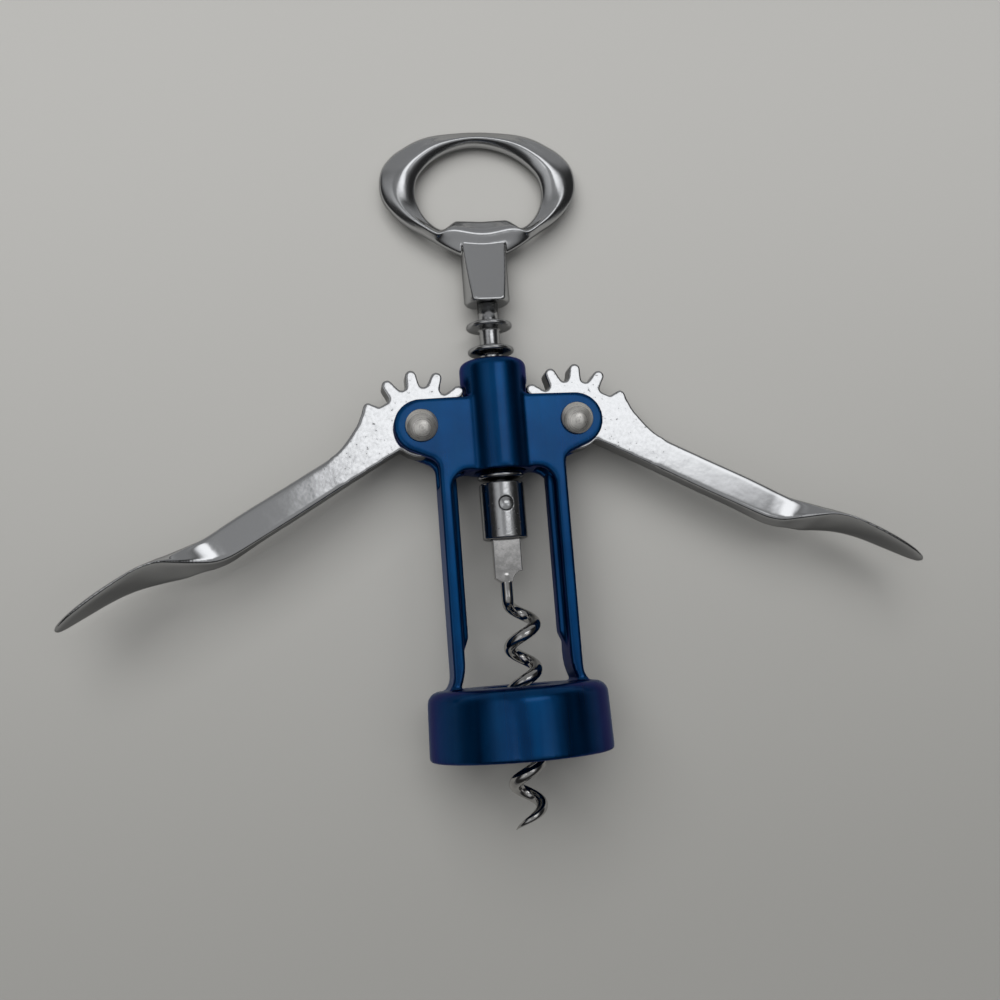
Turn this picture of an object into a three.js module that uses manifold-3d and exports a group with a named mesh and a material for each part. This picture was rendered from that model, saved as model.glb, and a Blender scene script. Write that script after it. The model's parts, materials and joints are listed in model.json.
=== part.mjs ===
// A wing corkscrew: a cast frame with a bell, two geared levers on rivets, a ring rack in the barrel,
// and a handle that ends in a crown cap opener and carries the worm through the rack.
// Millimetres. Every piece is modelled upright: the axis of the tool is +Z with the handle at the top,
// the front faces -Y, and the bell stands on Z = 0. The finished tool is then laid on its back.

import * as THREE from 'three';
import Module from 'manifold-3d';
import { mergeVertices } from 'three/addons/utils/BufferGeometryUtils.js';

const wasm = await Module();
wasm.setup();

// Clearances and general values
const gap = 0.3;
const overrun = 2;
const mergeDistance = 0.0005;
const roundSides = 36;
const smallSides = 20;
const halfTurn = 180;
const quarterTurn = 90;

// Bell, open below, with a web on top that the worm passes through
const bellRadius = 18.5;
const bellDraft = 0.3;
const bellHeight = 13.8;
const bellWall = 2.4;
const bellWeb = 2.6;
const bellShoulder = 2.6;
const bellRim = 0.5;
const bellInnerFillet = 1.1;
const guideClearance = 0.7;
const bellSides = 56;

// Ring rack and shaft: one outer radius for the rings and the tang above them
const shaftRadius = 4.8;
const rackPitch = 5.3;
const ringRimHalf = 0.5;
const ringRootHalf = 1;
const rackRootRadius = 2.15;
const ringsAbovePivot = 4;
const ringsBelowPivot = 2;
const neckAboveRings = 4.85;
const neckBelowRings = 1.4;
const spindleRadius = 1.25;

// Levers: a gear sector round the rivet, a flat bar and a broad paddle
const leverHalfThickness = 2.5;
const leverRounding = 0.55;
const leverDroop = 26.3;
const rightLift = 1.8;
const leverReach = 81;
const teethPerTurn = 13;
const teethOnSector = 7;
const teethAboveMesh = 5;
const toothAddendum = 1.13;
const toothDepth = 3.6;
const meshDepth = 0.9;
const hubRadius = 6;
const toothHalfWidth = 1.25;
const toothTipRounding = 1.15;
const toothRootFillet = 0.75;
const slotClearance = 0.4;
const slotSides = 48;
const hubEnd = 340;
const barHalfHeight = 3.2;
const paddleHalfWidth = 8;
const paddleTwist = 3;
const barStartShare = 1.57;
const barSectionPoints = 20;

// Pivots, and the barrel round the rack
const pivotHeight = 67;
const boreClearance = 0.45;
const barrelWall = 1.7;
const barrelAbovePivot = 13.6;
const barrelBelowPivot = 9.6;
const barrelRounding = 1.6;

// Cheeks and arms, one flat casting on each side of the levers
const cheekWall = 2;
const cheekRounding = 0.8;
const cheekAbovePivot = 5.9;
const earRadius = 5.55;
const earSlope = 23.5;
const earFillet = 2.5;
const bossFillet = 2;
const archBelowPivot = 9.1;
const archDroop = 0.3;
const archCorner = 3.6;
const armOuter = 13;
const armWidth = 2.4;
const footFlareRise = 3.2;
const footFlareRun = 1.16;
const footTaperRise = 5.7;
const footTaperRun = 1.32;
const ribWidth = 1.3;
const ribHalfDepth = 1.9;
const ribRounding = 0.6;
const ribScoop = 4.4;
const ribScoopSag = 0.25;

// Rivets
const rivetHeadRadius = 3.3;
const rivetHeadHeight = 1.9;
const rivetHeadEdge = 0.5;
const rivetShankRadius = 1.9;

// Handle: opener ring and tang
const headHalfWidth = 21;
const headHalfThickness = 2.4;
const headEdgeHalf = 1.2;
const headValleyHalf = 1.55;
const tangLength = 14.15;
const tangTopHalf = 1.5;
const tangBottomHalf = 3.6;
const tangRounding = 0.45;

// Collar, cross pin and worm
const collarRadius = 4.6;
const collarLength = 11.55;
const collarRounding = 0.35;
const pinRadius = 1.4;
const pinBelowCollarTop = 4.6;
const pinSetBack = 0.25;
const bladeHalfWidth = 2.85;
const bladeHalfThickness = 1.2;
const bladeRounding = 0.3;
const bladeBelowCollarTop = 2.1;
const bladeBelowCollar = 6.65;
const bladeHeel = 1.3;
const bladeLead = 0.6;
const wireRadius = 1.15;
const helixRadius = 2.7;
const helixPitch = 9;
const helixBelowBlade = 6.2;
const helixTurns = 5;
const helixOffsetTop = 2.2;
const helixOffsetTip = 0.35;
const taperTurnShare = 0.75;
const taperPower = 0.8;
const pointShare = 0.12;
const wireSides = 10;
const stationsPerTurn = 18;
const pathStepsPerTurn = 12;
const leadTurnShare = 0.35;

// Gears: the levers' pitch circle rolls along the rack, so the rings set where the pivots are
const pitchRadius = teethPerTurn * rackPitch / (2 * Math.PI);
const toothAngle = 360 / teethPerTurn;
const tipRadius = pitchRadius + toothAddendum;
const rootRadius = tipRadius - toothDepth;
const pivotOffset = tipRadius + shaftRadius - meshDepth;
const slotHalf = leverHalfThickness + gap;
const slotRadius = tipRadius + slotClearance;
const barStart = tipRadius * barStartShare;
const pivotHole = rivetShankRadius + gap;

// Frame sizes that follow from the rack and the pivots
const boreRadius = shaftRadius + boreClearance;
const barrelRadius = boreRadius + barrelWall;
const barrelBottom = pivotHeight - barrelBelowPivot;
const barrelTop = pivotHeight + barrelAbovePivot;
const cheekHalfDepth = slotHalf + cheekWall;
const cheekTop = pivotHeight + cheekAbovePivot;
const archHeight = pivotHeight - archBelowPivot;
const armInner = armOuter - armWidth;
const ribInner = armInner - ribWidth;
const guideHoleRadius = helixOffsetTop + helixRadius + wireRadius + guideClearance;

// Heights along the shaft, from the opener ring down to the point of the worm
const tangBottom = pivotHeight + ringsAbovePivot * rackPitch + neckAboveRings;
const tangTop = tangBottom + tangLength;
const headSeatShare = 0.486;
const headCentre = tangTop + headHalfWidth * headSeatShare;
const collarTop = pivotHeight - ringsBelowPivot * rackPitch - neckBelowRings;
const collarBottom = collarTop - collarLength;
const pinHeight = collarTop - pinBelowCollarTop;
const bladeTop = collarTop - bladeBelowCollarTop;
const bladeSlotTop = bladeTop + gap;
const spindleBottom = bladeSlotTop + gap;
const bladeShoulder = collarBottom - bladeBelowCollar;
const wireX = helixOffsetTop - helixRadius;
const helixTop = bladeShoulder - helixBelowBlade;

// Materials
const blueEnamel = new THREE.MeshStandardMaterial({ color: 0x123f6e, metalness: 0.6, roughness: 0.4 });
const chrome = new THREE.MeshStandardMaterial({ color: 0xc9ccce, metalness: 1, roughness: 0.15 });
const roughChrome = new THREE.MeshStandardMaterial({ color: 0xb9bcbd, metalness: 1, roughness: 0.35 });
const satinNickel = new THREE.MeshStandardMaterial({ color: 0xa9a59c, metalness: 1, roughness: 0.4 });
const darkSteel = new THREE.MeshStandardMaterial({ color: 0x7c8082, metalness: 1, roughness: 0.2 });

const radians = THREE.MathUtils.degToRad;

// Points on an arc, both ends included, angles in degrees from +X
function arc(x, y, radius, from, to, steps) {
  return Array.from({ length: steps + 1 }, (_, i) => {
    const angle = radians(from + (to - from) * i / steps);
    return new THREE.Vector2(x + radius * Math.cos(angle), y + radius * Math.sin(angle));
  });
}

// Points down a curve that leaves the vertical line at x and swings out by the run over the rise
function swungOut(x, top, rise, run, steps) {
  const radius = (rise ** 2 + run ** 2) / (2 * run);
  const swing = THREE.MathUtils.radToDeg(Math.asin(rise / radius));
  return arc(x + radius, top, radius, halfTurn, halfTurn + swing, steps);
}

// The same points mirrored in X, in the opposite order
function mirrored(points) {
  return points.map((p) => new THREE.Vector2(-p.x, p.y)).reverse();
}

// A closed solid from any closed geometry, its faces turned outwards
function solid(geometry) {
  const bare = new THREE.BufferGeometry();
  bare.setAttribute('position', geometry.getAttribute('position').clone());
  if (geometry.index) bare.setIndex(geometry.index.clone());
  const merged = mergeVertices(bare, mergeDistance);
  const places = merged.getAttribute('position').array;
  const found = Array.from(merged.index.array);
  const corner = (i) => new THREE.Vector3().fromArray(places, 3 * i);
  const kept = [];
  let volume = 0;
  for (let i = 0; i < found.length; i += 3) {
    const [a, b, c] = found.slice(i, i + 3);
    if (a === b || b === c || c === a) continue;
    kept.push([a, b, c]);
    volume += corner(a).dot(corner(b).cross(corner(c)));
  }
  const faces = volume > 0 ? kept : kept.map(([a, b, c]) => [a, c, b]);
  return new wasm.Manifold(new wasm.Mesh({
    numProp: 3,
    vertProperties: new Float32Array(places),
    triVerts: new Uint32Array(faces.flat()),
  }));
}

// The geometry of a finished solid
function geometryOf(body) {
  const mesh = body.getMesh();
  const geometry = new THREE.BufferGeometry();
  geometry.setAttribute('position', new THREE.BufferAttribute(mesh.vertProperties, 3));
  geometry.setIndex(new THREE.BufferAttribute(mesh.triVerts, 1));
  geometry.computeVertexNormals();
  return geometry;
}

// A solid of revolution about the Z axis through the origin, from points (radius, height)
function turned(points, sides) {
  return solid(new THREE.LatheGeometry(points, sides).rotateX(Math.PI / 2));
}

// A straight cylinder along Z
function rod(radius, from, to, sides) {
  const corners = [[0, from], [radius, from], [radius, to], [0, to]];
  return turned(corners.map(([r, z]) => new THREE.Vector2(r, z)), sides);
}

// A cylinder along Y, through the point (x, z)
function crossRod(radius, x, z, half, sides) {
  const geometry = new THREE.CylinderGeometry(radius, radius, 2 * half, sides);
  return solid(geometry.translate(x, 0, z));
}

// An outline drawn in X and Z, given a depth to both sides of Y = 0 and rounded edges
function plate(points, half, rounding, segments) {
  const geometry = new THREE.ExtrudeGeometry(new THREE.Shape(points), {
    depth: 2 * (half - rounding),
    bevelEnabled: rounding > 0,
    bevelThickness: rounding,
    bevelSize: rounding,
    bevelOffset: -rounding,
    bevelSegments: segments,
    steps: 1,
  });
  return solid(geometry.translate(0, 0, rounding - half).rotateX(Math.PI / 2));
}

// A skin over rings of equally many points; an open row of rings is closed by fans at both ends
function skinned(rings, looped) {
  const count = rings[0].length;
  const places = rings.flat();
  const faces = [];
  const last = looped ? rings.length : rings.length - 1;
  for (let i = 0; i < last; i += 1) {
    const next = (i + 1) % rings.length;
    for (let j = 0; j < count; j += 1) {
      const k = (j + 1) % count;
      const [a, b, c, d] = [i * count + j, i * count + k, next * count + k, next * count + j];
      faces.push([a, b, c], [a, c, d]);
    }
  }
  if (!looped) {
    for (const [ring, turn] of [[0, 0], [rings.length - 1, 1]]) {
      const middle = new THREE.Vector3();
      rings[ring].forEach((p) => middle.addScaledVector(p, 1 / count));
      const centre = places.push(middle) - 1;
      for (let j = 0; j < count; j += 1) {
        const pair = [ring * count + j, ring * count + (j + 1) % count];
        faces.push(turn ? [pair[0], pair[1], centre] : [pair[1], pair[0], centre]);
      }
    }
  }
  const geometry = new THREE.BufferGeometry();
  geometry.setAttribute('position', new THREE.Float32BufferAttribute(places.flatMap((p) => p.toArray()), 3));
  geometry.setIndex(faces.flat());
  return solid(geometry);
}

function bell() {
  const topRadius = bellRadius - bellDraft;
  const inside = bellRadius - bellWall;
  const ceiling = bellHeight - bellWeb;
  const outer = [
    new THREE.Vector2(inside, 0),
    ...arc(bellRadius - bellRim, bellRim, bellRim, -quarterTurn, 0, 2),
    ...arc(topRadius - bellShoulder, bellHeight - bellShoulder, bellShoulder, 0, quarterTurn, 5),
  ];
  const inner = [
    new THREE.Vector2(guideHoleRadius, bellHeight),
    new THREE.Vector2(guideHoleRadius, ceiling),
    ...arc(inside - bellInnerFillet, ceiling - bellInnerFillet, bellInnerFillet, quarterTurn, 0, 2),
    new THREE.Vector2(inside, 0),
  ];
  return turned([...outer, ...inner], bellSides);
}

function barrel() {
  const flank = barrelRadius - barrelRounding;
  const shoulder = arc(flank, barrelTop - barrelRounding, barrelRounding, 0, quarterTurn, 4);
  return turned([
    new THREE.Vector2(0, barrelBottom),
    new THREE.Vector2(barrelRadius, barrelBottom),
    ...shoulder,
    new THREE.Vector2(0, barrelTop),
  ], roundSides);
}

// Concave strips where the round barrel runs into the flat cheeks, front and back
function bossStrips() {
  const filletY = cheekHalfDepth + bossFillet;
  const filletX = Math.sqrt((barrelRadius + bossFillet) ** 2 - filletY ** 2);
  const towardsBarrel = THREE.MathUtils.radToDeg(Math.atan2(filletY, -filletX));
  const quarter = arc(filletX, -filletY, bossFillet, quarterTurn, towardsBarrel, 3);
  const front = [...quarter, ...mirrored(quarter)];
  const back = front.map((p) => new THREE.Vector2(p.x, -p.y)).reverse();
  const depth = cheekTop - barrelBottom;
  const shape = new THREE.Shape([...front, ...back]);
  const geometry = new THREE.ExtrudeGeometry(shape, { depth, bevelEnabled: false });
  return solid(geometry.translate(0, 0, barrelBottom));
}

// Ears, arms and arch as one outline, the right half from the middle of the top to the middle of the arch
function cheekHalfOutline() {
  const slope = radians(earSlope);
  const tangentAngle = earSlope - quarterTurn;
  const normal = new THREE.Vector2(Math.sin(slope), -Math.cos(slope));
  const filletX = armOuter + earFillet;
  const reach = earRadius + earFillet - normal.x * (filletX - pivotOffset);
  const filletZ = pivotHeight + reach / normal.y;
  const footBottom = bellHeight - bellWeb / 2;
  const flare = swungOut(armOuter, bellHeight + footFlareRise, footFlareRise, footFlareRun, 3);
  const taper = swungOut(armInner, bellHeight + footTaperRise, footTaperRise, footTaperRun, 3).reverse();
  return [
    new THREE.Vector2(0, cheekTop),
    ...arc(pivotOffset, pivotHeight, earRadius, quarterTurn, tangentAngle, 10),
    ...arc(filletX, filletZ, earFillet, quarterTurn + earSlope, halfTurn, 3),
    ...flare,
    new THREE.Vector2(flare.at(-1).x, footBottom),
    new THREE.Vector2(taper[0].x, footBottom),
    ...taper,
    ...arc(armInner - archCorner, archHeight - archDroop - archCorner, archCorner, 0, quarterTurn, 4),
    new THREE.Vector2(0, archHeight),
  ];
}

function cheeks() {
  const half = cheekHalfOutline();
  return plate([...half, ...mirrored(half.slice(1, -1))], cheekHalfDepth, cheekRounding, 2);
}

// The rib that stiffens the inner side of one arm and runs out above the bell
function armRib(side) {
  const top = archHeight - archCorner + ribRounding;
  const root = armInner + ribRounding;
  const bottom = bellHeight + footTaperRise;
  const midway = new THREE.Vector2(
    (ribInner + armInner) / 2 + ribScoopSag,
    bottom + ribScoop / 2,
  );
  const points = [
    new THREE.Vector2(root, top),
    new THREE.Vector2(ribInner, top),
    new THREE.Vector2(ribInner, bottom + ribScoop),
    midway,
    new THREE.Vector2(root, bottom),
  ];
  const outline = side > 0 ? points : mirrored(points);
  return plate(outline, ribHalfDepth, ribRounding, 2);
}

function frameCasting() {
  let body = cheeks().add(barrel()).add(bossStrips()).add(bell());
  body = body.add(armRib(1)).add(armRib(-1));
  body = body.subtract(rod(boreRadius, barrelBottom - overrun, barrelTop + overrun, roundSides));
  for (const side of [-1, 1]) {
    body = body.subtract(crossRod(slotRadius, side * pivotOffset, pivotHeight, slotHalf, slotSides));
    body = body.subtract(crossRod(pivotHole, side * pivotOffset, pivotHeight, barrelRadius, smallSides));
  }
  return body;
}

// Lever outline points as shares of the tip radius: a tongue inside the bar, the hollow upper edge and
// the rounded shoulder beside the teeth; then the lower edge back to the tongue
const shoulderShares = [
  [1.8, 0.18], [1.6, 0.28], [1.42, 0.315], [1.25, 0.375], [1.06, 0.47], [0.9, 0.56], [0.745, 0.69],
  [0.655, 0.785], [0.605, 0.805], [0.555, 0.795], [0.49, 0.715], [0.43, 0.64],
];
const lowerEdgeShares = [[0.52, -0.165], [1.6, -0.225], [1.8, -0.12]];

// Bar and paddle stations: share of the way from the root of the bar to its tip, then middle and half
// height as shares of the bar's half height, how far the bar has become the paddle, the share of its
// width left near the tip, and the squareness of the section
const barShares = [
  [0, 0.101, 0.962, 0, 1, 7], [0.176, -0.114, 0.99, 0, 1, 7],
  [0.307, -0.247, 1, 0, 1, 7], [0.392, -0.366, 1.005, 0.02, 1, 6],
  [0.438, -0.417, 0.972, 0.13, 1, 5], [0.484, -0.359, 0.879, 0.4, 1, 4.5],
  [0.533, -0.141, 0.737, 0.72, 1, 4], [0.582, 0.056, 0.586, 0.92, 1, 3.6],
  [0.634, 0.268, 0.412, 1, 1, 3.2], [0.699, 0.412, 0.298, 1, 0.985, 3],
  [0.765, 0.444, 0.255, 1, 0.94, 2.8], [0.83, 0.404, 0.232, 1, 0.865, 2.8],
  [0.889, 0.308, 0.217, 1, 0.755, 2.8], [0.939, 0.197, 0.197, 1, 0.61, 2.6],
  [0.974, 0.091, 0.172, 1, 0.43, 2.6], [0.992, 0.03, 0.139, 1, 0.27, 2.6],
  [1, -0.01, 0.088, 1, 0.13, 2.6],
];

// One tooth, drawn about its own centre line and turned to its angle
function tooth(angle) {
  const tipCentre = tipRadius - toothTipRounding;
  const spread = toothHalfWidth + toothRootFillet;
  const foot = Math.sqrt(rootRadius ** 2 - spread ** 2);
  const side = [
    new THREE.Vector2(spread, foot),
    new THREE.Vector2(toothHalfWidth + toothRootFillet / 4, foot + toothRootFillet / 2),
    new THREE.Vector2(toothHalfWidth, foot + 2 * toothRootFillet),
    ...arc(0, tipCentre, toothTipRounding, 0, quarterTurn, 3),
  ];
  const both = [...side, ...mirrored(side.slice(0, -1))];
  return both.map((p) => p.rotateAround(new THREE.Vector2(), radians(angle - quarterTurn)));
}

// Outline of the sector and the root of the bar: X along the lever, Y towards its upper edge
function sectorOutline() {
  const towardsRack = halfTurn + leverDroop;
  const firstTooth = towardsRack - toothAngle * (teethAboveMesh - 1 / 2);
  const points = shoulderShares.map(([x, y]) => new THREE.Vector2(x * tipRadius, y * tipRadius));
  for (let i = 0; i < teethOnSector; i += 1) {
    const angle = firstTooth + i * toothAngle;
    const between = radians(angle - toothAngle / 2);
    points.push(new THREE.Vector2(rootRadius * Math.cos(between), rootRadius * Math.sin(between)));
    points.push(...tooth(angle));
  }
  const behind = firstTooth + teethOnSector * toothAngle;
  points.push(...arc(0, 0, hubRadius, behind, hubEnd, 4));
  points.push(...lowerEdgeShares.map(([x, y]) => new THREE.Vector2(x * tipRadius, y * tipRadius)));
  return points;
}

// Section of the bar or paddle across its length, turned a little where it is the paddle
function barSection([along, middle, high, grown, left, square]) {
  const halfWidth = left * THREE.MathUtils.lerp(leverHalfThickness, paddleHalfWidth, grown);
  const turn = radians(paddleTwist) * grown;
  const swell = (value) => Math.sign(value) * Math.abs(value) ** (2 / square);
  return Array.from({ length: barSectionPoints }, (_, i) => {
    const angle = 2 * Math.PI * (i + 1 / 2) / barSectionPoints;
    const flat = new THREE.Vector2(
      halfWidth * swell(Math.cos(angle)),
      barHalfHeight * high * swell(Math.sin(angle)),
    );
    flat.rotateAround(new THREE.Vector2(), turn);
    return new THREE.Vector3(
      THREE.MathUtils.lerp(barStart, leverReach, along),
      flat.x,
      barHalfHeight * middle + flat.y,
    );
  });
}

// The right lever, its rivet at the origin, lying along +X; the left one is the same casting turned round
function lever(side) {
  const sector = plate(sectorOutline(), leverHalfThickness, leverRounding, 1);
  const bar = skinned(barShares.map(barSection), false);
  const body = sector.add(bar).subtract(crossRod(pivotHole, 0, 0, barrelRadius, smallSides));
  return side > 0 ? body : solid(geometryOf(body).rotateZ(Math.PI));
}

function rivet() {
  const under = cheekHalfDepth + gap;
  const domeRise = rivetHeadHeight - rivetHeadEdge;
  const domeRadius = (rivetHeadRadius ** 2 + domeRise ** 2) / (2 * domeRise);
  const domeAngle = THREE.MathUtils.radToDeg(Math.asin(rivetHeadRadius / domeRadius));
  const top = under + rivetHeadHeight;
  const head = [
    new THREE.Vector2(rivetShankRadius, under),
    new THREE.Vector2(rivetHeadRadius, under),
    ...arc(0, top - domeRadius, domeRadius, quarterTurn - domeAngle, quarterTurn, 3),
  ];
  const foot = head.map((p) => new THREE.Vector2(p.x, -p.y)).reverse();
  return solid(new THREE.LatheGeometry([...foot, ...head], smallSides));
}

// Sleeve with its rings, from just above the collar to just below the tang
function ringRack() {
  const bore = spindleRadius + gap;
  const bottom = collarTop + gap;
  const top = tangBottom - gap;
  const outer = [new THREE.Vector2(bore, bottom), new THREE.Vector2(rackRootRadius, bottom)];
  for (let i = -ringsBelowPivot; i <= ringsAbovePivot; i += 1) {
    const middle = pivotHeight + i * rackPitch;
    outer.push(
      new THREE.Vector2(rackRootRadius, middle - ringRootHalf),
      new THREE.Vector2(shaftRadius, middle - ringRimHalf),
      new THREE.Vector2(shaftRadius, middle + ringRimHalf),
      new THREE.Vector2(rackRootRadius, middle + ringRootHalf),
    );
  }
  outer.push(new THREE.Vector2(rackRootRadius, top), new THREE.Vector2(bore, top));
  return turned([...outer, outer[0].clone()], smallSides);
}

// Opener ring in polar form about its centre: angle above the horizontal, then the outer and inner
// radius as shares of the half width, and the place of the ridge across the band
const headShares = [
  [-90, 0.68, 0.335, 0.45], [-75, 0.68, 0.342, 0.45], [-62, 0.675, 0.366, 0.47], [-54, 0.68, 0.39, 0.52],
  [-49.5, 0.685, 0.405, 0.58], [-47.5, 0.689, 0.44, 0.64], [-46, 0.691, 0.51, 0.72], [-44, 0.695, 0.55, 0.8],
  [-40, 0.71, 0.575, 0.84], [-32.6, 0.745, 0.598, 0.85], [-21, 0.835, 0.623, 0.83], [-11, 0.917, 0.638, 0.78],
  [-3, 0.976, 0.646, 0.72], [5.4, 1.002, 0.645, 0.62], [15, 1, 0.634, 0.52], [25, 0.943, 0.604, 0.42],
  [33, 0.88, 0.58, 0.36], [42, 0.822, 0.556, 0.31], [52, 0.758, 0.534, 0.28], [62, 0.7, 0.516, 0.26],
  [72, 0.661, 0.505, 0.25], [81, 0.643, 0.5, 0.25], [90, 0.636, 0.499, 0.25],
];

// Places across the band and how far the ridge reaches over it
const acrossShares = [0, 0.07, 0.22, 0.4, 0.6, 0.78, 0.93, 1];
const ridgeShare = 0.3;

function headSection([degrees, outerShare, innerShare, ridge]) {
  const angle = radians(degrees);
  const inner = headHalfWidth * innerShare;
  const band = headHalfWidth * outerShare - inner;
  const place = (share, y) => new THREE.Vector3(
    (inner + band * share) * Math.cos(angle),
    y,
    headCentre + (inner + band * share) * Math.sin(angle),
  );
  const rise = (share) => {
    const crest = Math.exp(-(((share - ridge) / ridgeShare) ** 2));
    const surface = headValleyHalf + (headHalfThickness - headValleyHalf) * crest;
    const edge = Math.min(share, 1 - share) === 0 ? headEdgeHalf / surface : 1;
    return surface * edge;
  };
  const front = acrossShares.map((share) => place(share, -rise(share)));
  const back = acrossShares.map((share) => place(share, rise(share))).reverse();
  return [...front, ...back];
}

function openerRing() {
  const right = headShares.map(headSection);
  const left = headShares.slice(1, -1).map(headSection).reverse();
  left.forEach((ring) => ring.forEach((p) => p.setX(-p.x)));
  return skinned([...right, ...left], true);
}

// Round below and flattened towards the ring above
function tang() {
  const section = (z, radius, half) => Array.from({ length: roundSides }, (_, i) => {
    const angle = 2 * Math.PI * i / roundSides;
    const y = THREE.MathUtils.clamp(radius * Math.sin(angle), -half, half);
    return new THREE.Vector3(radius * Math.cos(angle), y, z);
  });
  return skinned([
    section(tangBottom, shaftRadius - tangRounding, tangBottomHalf),
    section(tangBottom + tangRounding, shaftRadius, tangBottomHalf),
    section(tangTop, shaftRadius, tangTopHalf),
  ], false);
}

function handle() {
  const spindle = rod(spindleRadius, spindleBottom, tangBottom + overrun, smallSides);
  return openerRing().add(tang()).add(spindle);
}

function box(halfWidth, halfDepth, bottom, top) {
  const geometry = new THREE.BoxGeometry(2 * halfWidth, 2 * halfDepth, top - bottom);
  return solid(geometry.translate(0, 0, (top + bottom) / 2));
}

function wormCollar() {
  const inset = collarRadius - collarRounding;
  const outside = turned([
    new THREE.Vector2(0, collarBottom),
    ...arc(inset, collarBottom + collarRounding, collarRounding, -quarterTurn, 0, 2),
    ...arc(inset, collarTop - collarRounding, collarRounding, 0, quarterTurn, 2),
    new THREE.Vector2(0, collarTop),
  ], smallSides);
  const slotHalfWidth = bladeHalfWidth + gap;
  const bladeSlot = box(slotHalfWidth, bladeHalfThickness + gap, collarBottom - overrun, bladeSlotTop);
  const spindleHole = rod(spindleRadius + gap, bladeTop, collarTop + overrun, smallSides);
  const pinHole = crossRod(pinRadius + gap, 0, pinHeight, collarRadius + overrun, smallSides);
  return outside.subtract(bladeSlot).subtract(spindleHole).subtract(pinHole);
}

function crossPin() {
  return crossRod(pinRadius, 0, pinHeight, collarRadius - pinSetBack, smallSides);
}

// The flat shank of the worm, hollowed on one side and heeled on the other where the wire leaves it
function blade() {
  const wireRight = wireX + wireRadius;
  const hollowRadius = bladeHalfWidth - wireRight;
  const foot = bladeShoulder - hollowRadius;
  const hollow = arc(bladeHalfWidth, foot, hollowRadius, quarterTurn, halfTurn, 5);
  const outline = [
    new THREE.Vector2(-bladeHalfWidth, bladeTop),
    new THREE.Vector2(-bladeHalfWidth, bladeShoulder - bladeHeel),
    new THREE.Vector2(wireX - wireRadius, foot),
    ...hollow.reverse(),
    new THREE.Vector2(bladeHalfWidth, bladeTop),
  ];
  return plate(outline, bladeHalfThickness, bladeRounding, 1);
}

// Centre line of the wire: straight out of the shank, then a right-handed helix down to the point
function wormPath() {
  const wireStart = bladeShoulder - bladeLead;
  const points = [wireStart, (wireStart + helixTop) / 2].map((z) => new THREE.Vector3(wireX, 0, z));
  const steps = Math.round(helixTurns * pathStepsPerTurn);
  for (let i = 1; i <= steps; i += 1) {
    const angle = Math.PI - 2 * Math.PI * helixTurns * i / steps;
    const centre = THREE.MathUtils.lerp(helixOffsetTop, helixOffsetTip, i / steps);
    const height = helixTop - helixPitch * helixTurns * i / steps;
    points.push(new THREE.Vector3(
      centre + helixRadius * Math.cos(angle),
      helixRadius * Math.sin(angle),
      height,
    ));
  }
  return new THREE.CatmullRomCurve3(points, false, 'centripetal');
}

function worm() {
  const stations = Math.round(stationsPerTurn * (helixTurns + leadTurnShare));
  const path = wormPath();
  const frames = path.computeFrenetFrames(stations, false);
  const rings = [];
  for (let i = 0; i <= stations; i += 1) {
    const centre = path.getPointAt(i / stations);
    const left = (stations - i) / stationsPerTurn;
    const radius = wireRadius * Math.max(pointShare, Math.min(1, left / taperTurnShare) ** taperPower);
    rings.push(Array.from({ length: wireSides }, (_, j) => {
      const angle = 2 * Math.PI * j / wireSides;
      return centre.clone()
        .addScaledVector(frames.normals[i], radius * Math.cos(angle))
        .addScaledVector(frames.binormals[i], radius * Math.sin(angle));
    }));
  }
  const pinHole = crossRod(pinRadius + gap, 0, pinHeight, collarRadius, smallSides);
  return skinned(rings, false).add(blade()).subtract(pinHole);
}

// The pieces by name, each with its finish; the levers turn about their rivets
const pieces = [
  ['frame_casting', frameCasting(), blueEnamel],
  ['left_lever', lever(-1), chrome],
  ['right_lever', lever(1), chrome],
  ['left_pivot_rivet', rivet(), satinNickel],
  ['right_pivot_rivet', rivet(), satinNickel],
  ['handle', handle(), chrome],
  ['ring_rack', ringRack(), roughChrome],
  ['worm_collar', wormCollar(), roughChrome],
  ['cross_pin', crossPin(), satinNickel],
  ['worm', worm(), darkSteel],
];

const tool = new THREE.Group();
for (const [name, body, material] of pieces) {
  const mesh = new THREE.Mesh(geometryOf(body), material);
  mesh.name = name;
  const side = name.startsWith('left') ? -1 : 1;
  if (name.endsWith('lever') || name.endsWith('rivet')) mesh.position.set(side * pivotOffset, 0, pivotHeight);
  const droop = side > 0 ? leverDroop - rightLift : -leverDroop;
  if (name.endsWith('lever')) mesh.rotation.y = radians(droop);
  tool.add(mesh);
}

// Laid on its back, the tool rests on the bell's shoulder and on the ridge of the opener ring
const [, topOuterShare, topInnerShare, topRidgeShare] = headShares.at(-1);
const crestShare = THREE.MathUtils.lerp(topInnerShare, topOuterShare, topRidgeShare);
const crestHeight = headCentre + headHalfWidth * crestShare;
const fall = bellRadius - bellDraft - headHalfThickness;
const run = crestHeight - (bellHeight - bellShoulder);
tool.rotation.x = -Math.PI / 2 - Math.atan2(fall, run);

const corkscrew = new THREE.Group();
corkscrew.add(tool);
const bounds = new THREE.Box3().setFromObject(corkscrew, true);
const middle = bounds.getCenter(new THREE.Vector3());
tool.position.set(0, -middle.y, -bounds.min.z);

export default corkscrew;
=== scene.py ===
# %% [markdown]
# # A wing corkscrew, dressed for the camera
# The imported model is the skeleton: it has the sizes, the joints and a plain solid for each part. This
# lesson gives it its looks: zinc castings under blue enamel or chrome plate, and a polished steel worm. The
# tool lies on its back on a pale table.

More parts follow.
